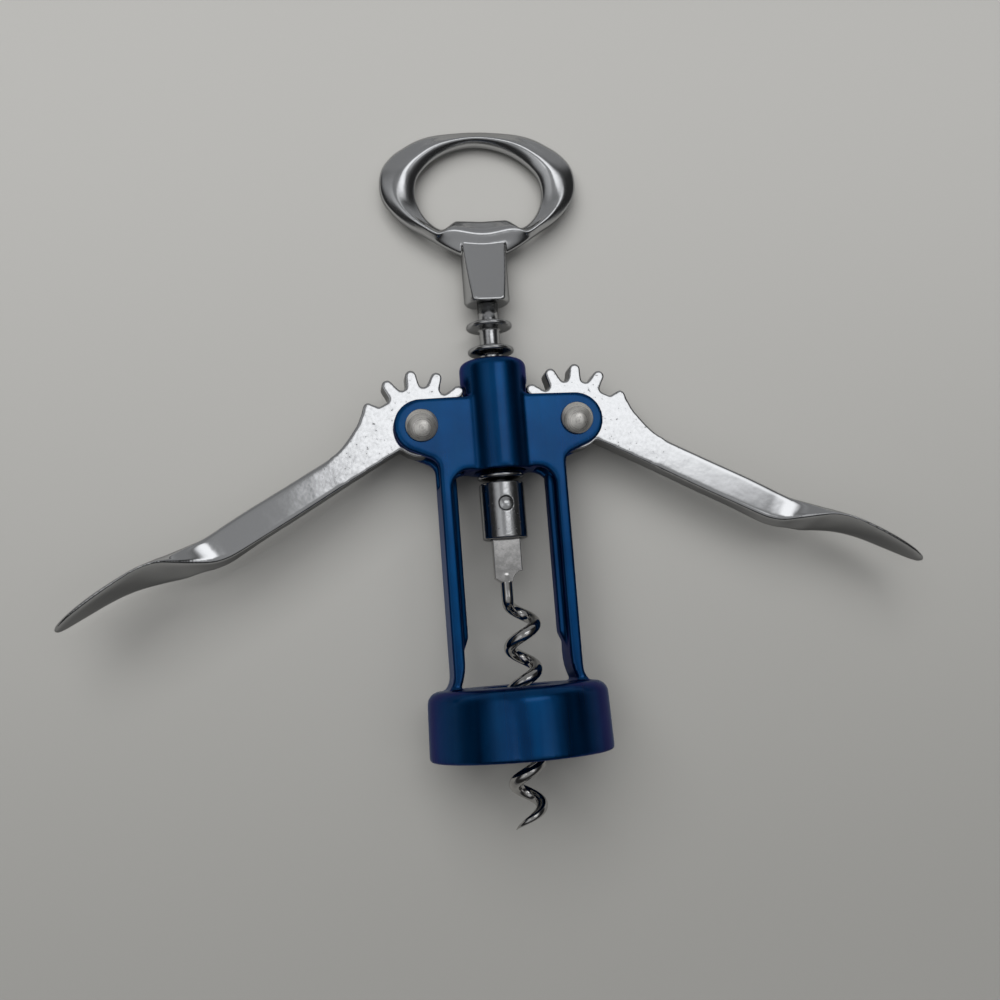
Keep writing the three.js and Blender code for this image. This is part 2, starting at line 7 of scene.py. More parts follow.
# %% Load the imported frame
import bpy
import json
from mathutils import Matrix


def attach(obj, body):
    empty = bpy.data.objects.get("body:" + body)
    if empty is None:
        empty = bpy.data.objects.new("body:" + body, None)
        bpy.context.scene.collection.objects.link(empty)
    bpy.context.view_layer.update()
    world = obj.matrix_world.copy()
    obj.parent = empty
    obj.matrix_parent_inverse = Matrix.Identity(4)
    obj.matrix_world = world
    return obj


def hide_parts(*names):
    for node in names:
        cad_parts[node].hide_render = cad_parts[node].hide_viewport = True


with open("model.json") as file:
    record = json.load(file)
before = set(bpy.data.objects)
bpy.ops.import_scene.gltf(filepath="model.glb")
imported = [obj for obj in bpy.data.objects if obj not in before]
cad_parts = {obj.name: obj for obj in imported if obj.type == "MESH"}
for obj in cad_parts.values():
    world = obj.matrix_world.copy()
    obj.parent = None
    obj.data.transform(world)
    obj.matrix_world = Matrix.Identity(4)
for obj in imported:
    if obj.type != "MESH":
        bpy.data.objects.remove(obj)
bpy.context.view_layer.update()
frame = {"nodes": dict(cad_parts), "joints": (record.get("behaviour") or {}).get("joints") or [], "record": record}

import json
import math
import bmesh
import bpy
from mathutils import Matrix, Vector

print("nodes:", ", ".join(sorted(frame["nodes"])))

# %% [markdown]
# The tool is easiest to model standing up: its axis is Z, its front faces -Y, and the bell stands on
# Z = 0, in millimetres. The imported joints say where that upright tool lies, so one matrix lays each
# finished piece down on the table.

# %% From the upright tool to the table
MM = 0.001
PIVOT_HEIGHT = 67

joints = {joint["name"]: joint for joint in frame["joints"]}
pivot = Vector(joints["right_lever_swing"]["pos_m"])
PIVOT_OFFSET = pivot.x / MM
towards_handle = Vector(joints["rack_slide"]["axis"]).normalized()
into_table = towards_handle.cross(Vector((1, 0, 0)))
foot = Vector((0, pivot.y, pivot.z)) - towards_handle * PIVOT_HEIGHT * MM
turn = Matrix((Vector((1, 0, 0)), into_table, towards_handle)).transposed()
laid_down = Matrix.Translation(foot) @ turn.to_4x4()
TOOL_LEAN = math.asin(-towards_handle.z)
print("the tool leans back by", round(math.degrees(TOOL_LEAN), 2), "degrees")

# %% [markdown]
# The camera stands almost straight over the table, a little to the left and nearer to the bell than to the
# handle, so that it looks up at the rings and at the lower edges of the levers.

# %% The camera
SENSOR_MM = 36
LENS_MM = 43.27
CAMERA_PLACE = (-0.03838, -0.00561, 0.25665)
CAMERA_DEGREES = (0.295, -8.82, -3.321)

lens = bpy.data.cameras.new("camera")
lens.sensor_width = SENSOR_MM
lens.lens = LENS_MM
camera = bpy.data.objects.new("camera", lens)
camera.location = CAMERA_PLACE
camera.rotation_euler = [math.radians(a) for a in CAMERA_DEGREES]
bpy.context.scene.collection.objects.link(camera)
bpy.context.scene.camera = camera
print("the camera sees", round(math.degrees(lens.angle), 1), "degrees from side to side")

# %% [markdown]
# Outlines are rows of points. An arc gives the round parts of a row, and the row for one half of a
# symmetrical piece is mirrored for the other half, so that only one side has to be worked out.

# %% Outlines
def arc(x, y, radius, start, end, steps):
    angles = [math.radians(start + (end - start) * i / steps) for i in range(steps + 1)]
    return [(x + radius * math.cos(a), y + radius * math.sin(a)) for a in angles]


def mirrored(points):
    return [(-x, y) for x, y in reversed(points)]


corner = arc(0, 0, 1, 0, 90, steps=2)
print("a quarter circle in two steps:", [(round(x, 3), round(y, 3)) for x, y in corner])

# %% [markdown]
# A loop is a circle whose vertices are moved to the points of a row. A skin bridges each loop to the next,
# as planks go over a boat's frames, and a face closes each end. These helpers only ever add to the bmesh
# they are given, so that several closed shells can lie in each other before they become one casting.

# %% Loops and skins
def loop(bm, points):
    verts = bmesh.ops.create_circle(bm, segments=len(points), radius=1)["verts"]
    for vert, point in zip(verts, points):
        vert.co = point
    return verts, list({edge for vert in verts for edge in vert.link_edges})


def skin(bm, rows, closed=False):
    loops = [loop(bm, row) for row in rows]
    following = loops[1:] + loops[:1] if closed else loops[1:]
    for (_, edges), (_, next_edges) in zip(loops, following):
        bmesh.ops.bridge_loops(bm, edges=edges + next_edges)
    if not closed:
        for verts, _ in (loops[0], loops[-1]):
            bm.faces.new(verts)


def face_count(make, *values):
    trial = bmesh.new()
    make(trial, *values)
    count = len(trial.faces)
    trial.free()
    return count


prism = [[(0, 0, z), (1, 0, z), (0, 1, z)] for z in (0, 1)]
print("a skin over two triangles has", face_count(skin, prism), "faces")

# %% [markdown]
# Flat parts are plates: one face with the part's outline, extruded through its thickness. Extrude leaves
# the new vertices where the old ones are, and a translate then carries them to the other side.

# %% Plates
def plate(bm, outline, half):
    face = bm.faces.new([bm.verts.new((x, -half, z)) for x, z in outline])
    far = bmesh.ops.extrude_face_region(bm, geom=[face])["geom"]
    moved = [part for part in far if isinstance(part, bmesh.types.BMVert)]
    bmesh.ops.translate(bm, verts=moved, vec=(0, 2 * half, 0))


print("a triangular plate has", face_count(plate, [(0, 0), (1, 0), (0, 1)], 1), "faces")

# %% [markdown]
# Round parts are turned on a lathe, and spin does the same to a profile. Vertices that land on the axis are
# merged, or the piece would have a pinhole at each pole. A lying piece has its axis from front to back, as
# the rivets and their holes have.

# %% Turned shapes
BELL_TURN = 128
SHAFT_TURN = 96
ROD_TURN = 64
HOLE_TURN = 48
SLIM_TURN = 32
SAME_POINT = 0.0005


def spun(bm, profile, steps=BELL_TURN, place=(0, 0, 0), lying=False):
    verts = [bm.verts.new((radius, 0, height)) for radius, height in profile]
    edges = [bm.edges.new(pair) for pair in zip(verts, verts[1:])]
    known = set(bm.verts) - set(verts)
    bmesh.ops.spin(bm, geom=verts + edges, cent=(0, 0, 0), axis=(0, 0, 1), angle=2 * math.pi, steps=steps,
                   use_merge=True)
    fresh = [vert for vert in bm.verts if vert not in known]
    bmesh.ops.remove_doubles(bm, verts=fresh, dist=SAME_POINT)
    fresh = [vert for vert in fresh if vert.is_valid]
    if lying:
        bmesh.ops.rotate(bm, verts=fresh, cent=(0, 0, 0), matrix=Matrix.Rotation(math.pi / 2, 3, "X"))
    bmesh.ops.translate(bm, verts=fresh, vec=place)


def rod(bm, radius, low, high, steps=ROD_TURN, place=(0, 0, 0), lying=False):
    spun(bm, [(0, low), (radius, low), (radius, high), (0, high)], steps, place, lying)


print("a rod of", ROD_TURN, "steps has", face_count(rod, 1, 0, 1), "faces")

# %% [markdown]
# A finished bmesh becomes a mesh and an object here. It is scaled from millimetres to Blender's metres, and
# its faces are made to point outwards, because a spin or a mirrored row can leave them inside out.

# %% From a bmesh to a piece
def linked(name, bm):
    bmesh.ops.scale(bm, vec=(MM, MM, MM), verts=bm.verts)
    bmesh.ops.recalc_face_normals(bm, faces=bm.faces)
    mesh = bpy.data.meshes.new(name)
    bm.to_mesh(mesh)
    bm.free()
    piece = bpy.data.objects.new(name, mesh)
    bpy.context.scene.collection.objects.link(piece)
    return piece


print("a millimetre is", MM, "m in the scene")

# %% [markdown]
# Zinc castings have no sharp corners. The shells of one casting are given to the Remesh modifier, which
# makes one skin over all of them, and a few rounds of smoothing then round every corner and fill every
# hollow a little, as the mould, the polishing and the plate or enamel do. What has to be cut out goes
# first, with a Boolean. All of that is done while the piece still stands upright and square to the axes, so
# that its straight edges stay straight; then it is laid down, and kept as a plain mesh. A turned piece needs
# neither, and is only laid down.

# %% From shells to one casting
SOFTNESS = 0.5


def cast(piece, grain=0, rounds=0, cutter=None, place=laid_down):
    if cutter:
        cut = piece.modifiers.new("cut_out", "BOOLEAN")
        cut.object = cutter
        cut.solver = "EXACT"
        cut.use_self = True
    if grain:
        skinned = piece.modifiers.new("one_skin", "REMESH")
        skinned.mode = "VOXEL"
        skinned.voxel_size = grain * MM
        soft = piece.modifiers.new("soft_corners", "SMOOTH")
        soft.factor = SOFTNESS
        soft.iterations = rounds
    graph = bpy.context.evaluated_depsgraph_get()
    mesh = bpy.data.meshes.new_from_object(piece.evaluated_get(graph), depsgraph=graph)
    piece.modifiers.clear()
    mesh.transform(place)
    piece.data = mesh
    if cutter:
        bpy.data.objects.remove(cutter)
    print(piece.name, "is", [round(side / MM, 1) for side in piece.dimensions], "mm in size")
    return piece


print("each round of smoothing moves a corner by", SOFTNESS, "of the way to its neighbours")

# %% [markdown]
# The blue frame is one zinc casting: a round barrel for the rack, flat cheeks with ears for the rivets, two
# arms with a stiffening rib, and the bell. A pattern maker would glue up turned and sawn parts and fill the
# corners, and that is how it is made here. The bell comes first. Its wall is a closed profile, with a thick
# web under its top and a hole through which the worm runs.

# %% The bell's profile
BELL_RADIUS = 18.5
BELL_DRAFT = 0.3
BELL_HEIGHT = 13.8
BELL_WALL = 2.4
BELL_WEB = 2.6
BELL_SHOULDER = 2.6
BELL_RIM = 0.5
BELL_FILLET = 1.1
GUIDE_RADIUS = 6.75


def bell_profile():
    inside = BELL_RADIUS - BELL_WALL
    ceiling = BELL_HEIGHT - BELL_WEB
    top = BELL_RADIUS - BELL_DRAFT - BELL_SHOULDER
    return [
        (inside, 0),
        *arc(BELL_RADIUS - BELL_RIM, BELL_RIM, BELL_RIM, -90, 0, steps=6),
        *arc(top, BELL_HEIGHT - BELL_SHOULDER, BELL_SHOULDER, 0, 90, steps=16),
        (GUIDE_RADIUS, BELL_HEIGHT),
        (GUIDE_RADIUS, ceiling),
        *arc(inside - BELL_FILLET, ceiling - BELL_FILLET, BELL_FILLET, 90, 0, steps=6),
        (inside, 0),
    ]


print("the bell is", 2 * BELL_RADIUS, "mm wide outside and", 2 * (BELL_RADIUS - BELL_WALL), "mm inside")

# %% [markdown]
# Where the arms meet the bell they swing outwards, in a short curve on the outside and in a long one on the
# inside. Each curve starts upright and is drawn as an arc. What can be measured is how far it rises and how
# far it runs out, and its radius follows from those two.

# %% The curves at the foot of an arm
FLARE_RISE = 3.2
FLARE_RUN = 1.16
TAPER_RISE = 5.7
TAPER_RUN = 1.32


def swung_out(x, top, rise, run, steps):
    radius = (rise ** 2 + run ** 2) / (2 * run)
    return arc(x + radius, top, radius, 180, 180 + math.degrees(math.asin(rise / radius)), steps)


print("the outer curve runs out", FLARE_RUN, "mm in", FLARE_RISE, "mm of height, and the inner one",
      TAPER_RUN, "mm in", TAPER_RISE, "mm")

# %% [markdown]
# The cheeks and the arms are one plate. Its half outline goes from the flat top round the ear, through a
# fillet down the arm, flares out into the bell, and comes back up the inner side, which tapers, to the
# corner of the arch.

# %% The outline of the cheeks and arms
CHEEK_HALF = 4.8
CHEEK_TOP = 72.9
EAR_RADIUS = 5.55
EAR_SLOPE = 23.5
EAR_FILLET = 2.5
ARCH_HEIGHT = 57.9
ARCH_DROOP = 0.3
ARCH_CORNER = 3.6
ARM_OUTER = 13
ARM_INNER = 10.6


def cheek_outline():
    slope = math.radians(EAR_SLOPE)
    fillet_x = ARM_OUTER + EAR_FILLET
    reach = EAR_RADIUS + EAR_FILLET - math.sin(slope) * (fillet_x - PIVOT_OFFSET)
    fillet_z = PIVOT_HEIGHT - reach / math.cos(slope)
    foot_height = BELL_HEIGHT - BELL_WEB / 2
    flare = swung_out(ARM_OUTER, BELL_HEIGHT + FLARE_RISE, FLARE_RISE, FLARE_RUN, steps=10)
    taper = swung_out(ARM_INNER, BELL_HEIGHT + TAPER_RISE, TAPER_RISE, TAPER_RUN, steps=12)[::-1]
    corner_z = ARCH_HEIGHT - ARCH_DROOP - ARCH_CORNER
    half = [
        (0, CHEEK_TOP),
        *arc(PIVOT_OFFSET, PIVOT_HEIGHT, EAR_RADIUS, 90, EAR_SLOPE - 90, steps=36),
        *arc(fillet_x, fillet_z, EAR_FILLET, 90 + EAR_SLOPE, 180, steps=12),
        *flare, (flare[-1][0], foot_height), (taper[0][0], foot_height), *taper,
        *arc(ARM_INNER - ARCH_CORNER, corner_z, ARCH_CORNER, 0, 90, steps=14),
        (0, ARCH_HEIGHT),
    ]
    return half + mirrored(half[1:-1])


print("the outline of the cheeks and arms has", len(cheek_outline()), "points")

# %% [markdown]
# Where the barrel comes out of the cheeks, a fillet runs down both sides. Its outline, seen from above, is
# two quarter circles that touch the barrel and the cheek. Inside each arm a thin rib stiffens the casting
# and ends above the bell in a slanted scoop.

# %% The fillets and the ribs
BARREL_RADIUS = 6.95
BOSS_FILLET = 2
RIB_INNER = 9.3
RIB_HALF = 1.9
RIB_SCOOP = 4.4
RIB_OVERLAP = 0.6
RIB_BELLY = 0.25
ARCH_OVERLAP = 1


def boss_outline():
    y = CHEEK_HALF + BOSS_FILLET
    x = math.sqrt((BARREL_RADIUS + BOSS_FILLET) ** 2 - y ** 2)
    quarter = arc(x, -y, BOSS_FILLET, 90, math.degrees(math.atan2(y, -x)), steps=8)
    front = quarter + mirrored(quarter)
    return front + [(x, -y) for x, y in reversed(front)]


def rib_outline():
    bottom = BELL_HEIGHT + TAPER_RISE
    top = ARCH_HEIGHT + ARCH_OVERLAP
    root = ARM_INNER + RIB_OVERLAP
    belly = (RIB_INNER + ARM_INNER) / 2 + RIB_BELLY
    return [
        (root, top), (RIB_INNER, top), (RIB_INNER, bottom + RIB_SCOOP), (belly, bottom + RIB_SCOOP / 2),
        (root, bottom),
    ]


print("each rib stands", round(ARM_INNER - RIB_INNER, 1), "mm out of its arm")

# %% [markdown]
# All the shells go into one bmesh, and all the cutters into another: the bore for the rack, the slot in
# which each gear turns, and the holes for the rivets. The cutters overrun the casting at both ends, because
# a cutter that ends exactly on a face can leave a film of metal there.

# %% The frame casting
BARREL_BOTTOM = 57.4
BARREL_TOP = 80.6
BARREL_ROUNDING = 1.6
BORE_RADIUS = 5.25
SLOT_HALF = 2.8
SLOT_RADIUS = 12.5
PIVOT_HOLE = 2.1
OVERRUN = 2
FRAME_GRAIN = 0.35
FRAME_ROUNDS = 7

shells = bmesh.new()
spun(shells, bell_profile())
shoulder_x = BARREL_RADIUS - BARREL_ROUNDING
shoulder = arc(shoulder_x, BARREL_TOP - BARREL_ROUNDING, BARREL_ROUNDING, 0, 90, steps=12)
spun(shells, [(0, BARREL_BOTTOM), (BARREL_RADIUS, BARREL_BOTTOM), *shoulder, (0, BARREL_TOP)])
plate(shells, cheek_outline(), CHEEK_HALF)
skin(shells, [[(x, y, z) for x, y in boss_outline()] for z in (BARREL_BOTTOM, CHEEK_TOP)])
plate(shells, rib_outline(), RIB_HALF)
plate(shells, mirrored(rib_outline()), RIB_HALF)

cutters = bmesh.new()
rod(cutters, BORE_RADIUS, BARREL_BOTTOM - OVERRUN, BARREL_TOP + OVERRUN, SHAFT_TURN)
for side in (-1, 1):
    rivet_place = (side * PIVOT_OFFSET, 0, PIVOT_HEIGHT)
    rod(cutters, SLOT_RADIUS, -SLOT_HALF, SLOT_HALF, BELL_TURN, rivet_place, True)
    rod(cutters, PIVOT_HOLE, -BARREL_RADIUS, BARREL_RADIUS, HOLE_TURN, rivet_place, True)
casting = cast(linked("cast_frame", shells), FRAME_GRAIN, FRAME_ROUNDS, linked("frame_cutters", cutters))

# %% [markdown]
# Each lever is a second casting: a gear sector round its rivet, a flat bar, and a paddle for the thumb. Its
# curves are known at a few stations only. This helper puts more rows between the given ones, on a smooth
# curve through each column, so that a short table can describe a long soft shape.

# %% Smooth rows
def filled(rows, steps):
    found = []
    last = len(rows) - 1
    for i in range(last):
        before, one, other, after = rows[max(i - 1, 0)], rows[i], rows[i + 1], rows[min(i + 2, last)]
        for k in range(steps):
            t = k / steps
            found.append([
                q + t * ((r - p) / 2 + t * (p - 2.5 * q + 2 * r - s / 2 + t * (1.5 * (q - r) + (s - p) / 2)))
                for p, q, r, s in zip(before, one, other, after)
            ])
    return found + [list(rows[-1])]


def hump(share, middle, spread):
    return math.exp(-(((share - middle) / spread) ** 2))


print("two rows in ten steps become", len(filled([[0], [1]], 10)), "rows")

# %% [markdown]
# The teeth are straight-sided, with a round tip and a small fillet at the foot, as cast gears have them.
# Half a tooth is drawn pointing up, is mirrored, and is then turned to where it stands on the gear.

# %% One tooth
TIP_RADIUS = 12.0957
TOOTH_DEPTH = 3.6
ROOT_RADIUS = TIP_RADIUS - TOOTH_DEPTH
TOOTH_HALF = 1.25
TOOTH_TIP = 1.15
TOOTH_FILLET = 0.75


def turned_about(points, degrees):
    angle = math.radians(degrees)
    return [(x * math.cos(angle) - y * math.sin(angle), x * math.sin(angle) + y * math.cos(angle))
            for x, y in points]


def tooth(angle):
    spread = TOOTH_HALF + TOOTH_FILLET
    foot_of_tooth = math.sqrt(ROOT_RADIUS ** 2 - spread ** 2)
    side = [
        (spread, foot_of_tooth),
        (TOOTH_HALF + TOOTH_FILLET / 4, foot_of_tooth + TOOTH_FILLET / 2),
        (TOOTH_HALF, foot_of_tooth + 2 * TOOTH_FILLET),
        *arc(0, TIP_RADIUS - TOOTH_TIP, TOOTH_TIP, 0, 90, steps=8),
    ]
    return turned_about(side + mirrored(side[:-1]), angle - 90)


print("a tooth is", TOOTH_DEPTH, "mm deep and", 2 * TOOTH_HALF, "mm thick")

# %% [markdown]
# The gear sector is a plate. Thirteen teeth would go round a full gear, and seven of them are there, placed
# so that the drooping left lever has a gap between two teeth in line with the rack. The smooth shoulder next
# to the first tooth leads to the bar, and its points are shares of the tip radius.

# %% The gear sector
HUB_RADIUS = 6
HUB_END = 340
TOOTH_ANGLE = 360 / 13
TEETH = 7
TEETH_BEFORE_RACK = 4.5
LEVER_DROOP = {"left_lever": -26.3, "right_lever": 24.5}
FIRST_TOOTH = 180 - LEVER_DROOP["left_lever"] - TEETH_BEFORE_RACK * TOOTH_ANGLE
SHOULDER_STEPS = 4

shoulder_shares = [
    [1.8, 0.18], [1.6, 0.28], [1.42, 0.315], [1.25, 0.375], [1.06, 0.47], [0.9, 0.56], [0.745, 0.69],
    [0.655, 0.785], [0.605, 0.805], [0.555, 0.795], [0.49, 0.715], [0.43, 0.64],
]
lower_edge_shares = [[0.52, -0.165], [1.6, -0.225], [1.8, -0.12]]


def sector_outline():
    points = [(x * TIP_RADIUS, y * TIP_RADIUS) for x, y in filled(shoulder_shares, SHOULDER_STEPS)]
    for i in range(TEETH):
        angle = FIRST_TOOTH + i * TOOTH_ANGLE
        points += turned_about([(ROOT_RADIUS, 0)], angle - TOOTH_ANGLE / 2) + tooth(angle)
    points += arc(0, 0, HUB_RADIUS, FIRST_TOOTH + TEETH * TOOTH_ANGLE, HUB_END, steps=16)
    return points + [(x * TIP_RADIUS, y * TIP_RADIUS) for x, y in lower_edge_shares]


print("the sector's outline has", len(sector_outline()), "points")

# %% [markdown]
# The bar runs on from the sector as a row of sections, flat-sided at first. Its lower edge then spreads
# into the broad paddle while the top is still narrow, which gives the twisted fold in the middle. A row of
# the table has the share of the way along, the middle and the half height of the section, how far its lower
# and its upper edge have spread from the bar to the paddle, the share of the breadth that is left near the
# tip, and how square the section is: 2 is an ellipse, and 14 is almost a rectangle.

# %% The bar and the paddle
LEVER_HALF = 2.5
BAR_START = 18.99
BAR_END = 81
BAR_HALF_HEIGHT = 3.2
PADDLE_SPREAD = 5.5
PADDLE_TWIST = 3
FOLD_MIDDLE = 0.57
FOLD_SPREAD = 0.15

bar_shares = [
    [0, 0.101, 0.962, 0, 0, 1, 14], [0.176, -0.114, 0.99, 0, 0, 1, 14], [0.307, -0.247, 1, 0, 0, 1, 14],
    [0.392, -0.366, 1.005, 0, 0, 1, 12], [0.438, -0.417, 0.972, 0, 0, 1, 12],
    [0.484, -0.359, 0.879, 0.04, 0.02, 1, 10], [0.533, -0.141, 0.737, 0.2, 0.1, 1, 8],
    [0.582, 0.056, 0.586, 0.5, 0.33, 1, 6], [0.634, 0.268, 0.412, 0.82, 0.66, 1, 4],
    [0.699, 0.412, 0.298, 1, 0.93, 0.985, 3.2], [0.765, 0.444, 0.255, 1, 1, 0.94, 2.8],
    [0.83, 0.404, 0.232, 1, 1, 0.865, 2.8], [0.889, 0.308, 0.217, 1, 1, 0.755, 2.8],
    [0.939, 0.197, 0.197, 1, 1, 0.61, 2.6], [0.974, 0.091, 0.172, 1, 1, 0.43, 2.6],
    [0.992, 0.03, 0.139, 1, 1, 0.27, 2.6], [1, -0.01, 0.088, 1, 1, 0.13, 2.6],
]


def bar_section(row, fold, points=96):
    along, middle, high, low_grown, top_grown, left, square = row
    low = left * (LEVER_HALF + PADDLE_SPREAD * low_grown)
    top = left * (LEVER_HALF + PADDLE_SPREAD * top_grown)
    twist = math.radians(PADDLE_TWIST) * low_grown
    lift = math.tan(math.radians(fold)) * hump(along, FOLD_MIDDLE, FOLD_SPREAD)
    section = []
    for i in range(points):
        angle = 2 * math.pi * (i + 0.5) / points
        across, up = (math.copysign(abs(v) ** (2 / square), v) for v in (math.cos(angle), math.sin(angle)))
        y = across * (low + (top - low) * (1 + up) / 2)
        z = BAR_HALF_HEIGHT * high * up + y * lift * (1 - up) / 2
        section.append((
            BAR_START + (BAR_END - BAR_START) * along,
            y * math.cos(twist) - z * math.sin(twist),
            BAR_HALF_HEIGHT * middle + y * math.sin(twist) + z * math.cos(twist),
        ))
    return section


print("the paddle is", 2 * (LEVER_HALF + PADDLE_SPREAD), "mm broad, and its bar", 2 * LEVER_HALF, "mm thick")

# %% [markdown]
# Both levers come from one function. The left one is turned round its upright axis, as if the same casting
# were fitted from the other side, but the fold slopes the other way, because its lower edge rises towards the
# viewer on both. Each lever droops by its own angle, as it was left when the tool was put down.

# %% The levers
LEVER_FOLD = {"left_lever": 15, "right_lever": -15}
BAR_STEPS = 12
LEVER_GRAIN = 0.22
LEVER_ROUNDS = 8


def lever(name, side):
    place = laid_down @ Matrix.Translation((side * PIVOT_OFFSET * MM, 0, PIVOT_HEIGHT * MM))
    place = place @ Matrix.Rotation(math.radians(LEVER_DROOP[name]), 4, "Y")
    if side < 0:
        place = place @ Matrix.Rotation(math.pi, 4, "Z")
    bm = bmesh.new()
    plate(bm, sector_outline(), LEVER_HALF)
    skin(bm, [bar_section(row, LEVER_FOLD[name]) for row in filled(bar_shares, BAR_STEPS)])
    drill = bmesh.new()
    rod(drill, PIVOT_HOLE, -BARREL_RADIUS, BARREL_RADIUS, HOLE_TURN, lying=True)
    return cast(linked("cast_" + name, bm), LEVER_GRAIN, LEVER_ROUNDS, linked("drill", drill), place)


levers = {"left_lever": lever("left_lever", -1), "right_lever": lever("right_lever", 1)}

# %% [markdown]
# The handle is the third casting. Its ring is a band whose height changes round the ring: a bead runs along
# the inner edge over the top, and another one along the outer edge of the two lower arms, and they fade into
# each other at the sides. Below, the band turns inwards and makes the catch for a crown cap. A row of the
# table has the angle above the horizontal, the outer and the inner edge as shares of the half width, and the
# strength of the inner bead, of the outer bead and of the catch.

# %% The opener ring
HEAD_HALF_WIDTH = 21
HEAD_CENTRE = 117.406
HEAD_HALF = 2.4
BAND_HALF = 1.2
RIM_HALF = 0.495
CROWN = 0.35
CROWN_SQUARENESS = 2.4
BEAD = HEAD_HALF - BAND_HALF - CROWN
INNER_BEAD = {"middle": 0.34, "spread": 0.3}
OUTER_BEAD = {"middle": 0.64, "spread": 0.24}
CATCH = {"middle": 0.4, "spread": 0.22}

head_shares = [
    [-90, 0.68, 0.304, 0, 0, 1], [-75, 0.68, 0.311, 0, 0, 1], [-62, 0.675, 0.337, 0, 0.2, 0.95],
    [-54, 0.68, 0.366, 0, 0.5, 0.75], [-49.5, 0.685, 0.39, 0, 0.7, 0.5], [-47.5, 0.689, 0.43, 0, 0.8, 0.3],
    [-46, 0.691, 0.505, 0, 0.9, 0.1], [-44, 0.695, 0.55, 0, 0.95, 0], [-40, 0.71, 0.575, 0, 1, 0],
    [-32.6, 0.745, 0.598, 0, 1, 0], [-21, 0.835, 0.623, 0.05, 0.9, 0], [-11, 0.917, 0.638, 0.15, 0.7, 0],
    [-3, 0.976, 0.646, 0.35, 0.5, 0], [5.4, 1.002, 0.645, 0.55, 0.3, 0], [15, 1, 0.634, 0.8, 0.15, 0],
    [25, 0.943, 0.604, 0.95, 0.05, 0], [33, 0.88, 0.58, 1, 0, 0], [42, 0.822, 0.556, 1, 0, 0],
    [52, 0.758, 0.534, 1, 0, 0], [62, 0.7, 0.516, 1, 0, 0], [72, 0.661, 0.505, 1, 0, 0],
    [81, 0.643, 0.5, 1, 0, 0], [90, 0.636, 0.499, 1, 0, 0],
]


def head_section(row, steps=22):
    degrees, outer_share, inner_share, inner_bead, outer_bead, catch = row
    angle = math.radians(degrees)
    inner = HEAD_HALF_WIDTH * inner_share
    band = HEAD_HALF_WIDTH * outer_share - inner
    front = []
    for i in range(steps + 1):
        place = inner + band * (1 - math.cos(math.pi * i / steps)) / 2
        t = (place - inner) / band
        crest = inner_bead * hump(t, **INNER_BEAD) + outer_bead * hump(t, **OUTER_BEAD)
        crest += catch * hump(t, **CATCH)
        crown = math.sqrt(max(0.0, 1 - abs(2 * t - 1) ** CROWN_SQUARENESS))
        height = RIM_HALF + crown * (BAND_HALF - RIM_HALF + CROWN + BEAD * crest)
        x, z = place * math.cos(angle), HEAD_CENTRE + place * math.sin(angle)
        front.append((x, -min(height, HEAD_HALF), z))
    return front + [(x, -y, z) for x, y, z in reversed(front)]


print("the ring is", 2 * HEAD_HALF_WIDTH, "mm wide and", 2 * HEAD_HALF, "mm thick at its beads")

# %% [markdown]
# The stem of the handle is a round bar that was squeezed flat towards the ring. Each of its sections is a
# circle whose points are held between two flats, and the flats come closer on the way up. A thin spindle
# goes down through the rings of the rack, so that the handle can turn in them.

# %% The stem
SHAFT_RADIUS = 4.8
STEM_BOTTOM = 93.05
STEM_TOP = 107.2
STEM_BOTTOM_HALF = 3.6
STEM_TOP_HALF = 1.5
STEM_ROUNDING = 0.45
STEM_STEPS = 24


def stem_section(z, radius, half, points=120):
    angles = [2 * math.pi * i / points for i in range(points)]
    return [(radius * math.cos(a), max(-half, min(half, radius * math.sin(a))), z) for a in angles]


def stem_rows():
    rows = [stem_section(STEM_BOTTOM, SHAFT_RADIUS - STEM_ROUNDING, STEM_BOTTOM_HALF)]
    for i in range(STEM_STEPS + 1):
        height = STEM_BOTTOM + STEM_ROUNDING + (STEM_TOP - STEM_BOTTOM - STEM_ROUNDING) * i / STEM_STEPS
        half = STEM_BOTTOM_HALF + (STEM_TOP_HALF - STEM_BOTTOM_HALF) * i / STEM_STEPS
        rows.append(stem_section(height, SHAFT_RADIUS, half))
    return rows


print("the stem is", round(STEM_TOP - STEM_BOTTOM, 2), "mm high, and has", len(stem_rows()), "sections")

# %% [markdown]
# The rows go up the right side of the ring only, so the left half is the same sections with x turned round,
# in the other order. The skin closes on itself, because a ring has no ends.

# %% The handle
SPINDLE_RADIUS = 1.25
SPINDLE_BOTTOM = 53.5
HEAD_STEPS = 6
HANDLE_GRAIN = 0.2
HANDLE_ROUNDS = 4

bm = bmesh.new()
right_half = [head_section(row) for row in filled(head_shares, HEAD_STEPS)]
left_half = [[(-x, y, z) for x, y, z in ring] for ring in reversed(right_half[1:-1])]
skin(bm, right_half + left_half, closed=True)
skin(bm, stem_rows())
rod(bm, SPINDLE_RADIUS, SPINDLE_BOTTOM, STEM_BOTTOM + OVERRUN)
handle = cast(linked("cast_handle", bm), HANDLE_GRAIN, HANDLE_ROUNDS)

# %% [markdown]
# A rivet is a turned part: its profile is spun round its axis, with an arc for the low dome, so it needs no
# remesh. It has a head on both sides of the cheeks, and the same profile is mirrored for the second one.

# %% The rivets
RIVET_RADIUS = 3.3
RIVET_HEIGHT = 1.9
RIVET_EDGE = 0.5
RIVET_BEVEL = 0.12
RIVET_SHANK = 1.9
RIVET_GAP = 0.1
RIVET_UNDER = CHEEK_HALF + RIVET_GAP


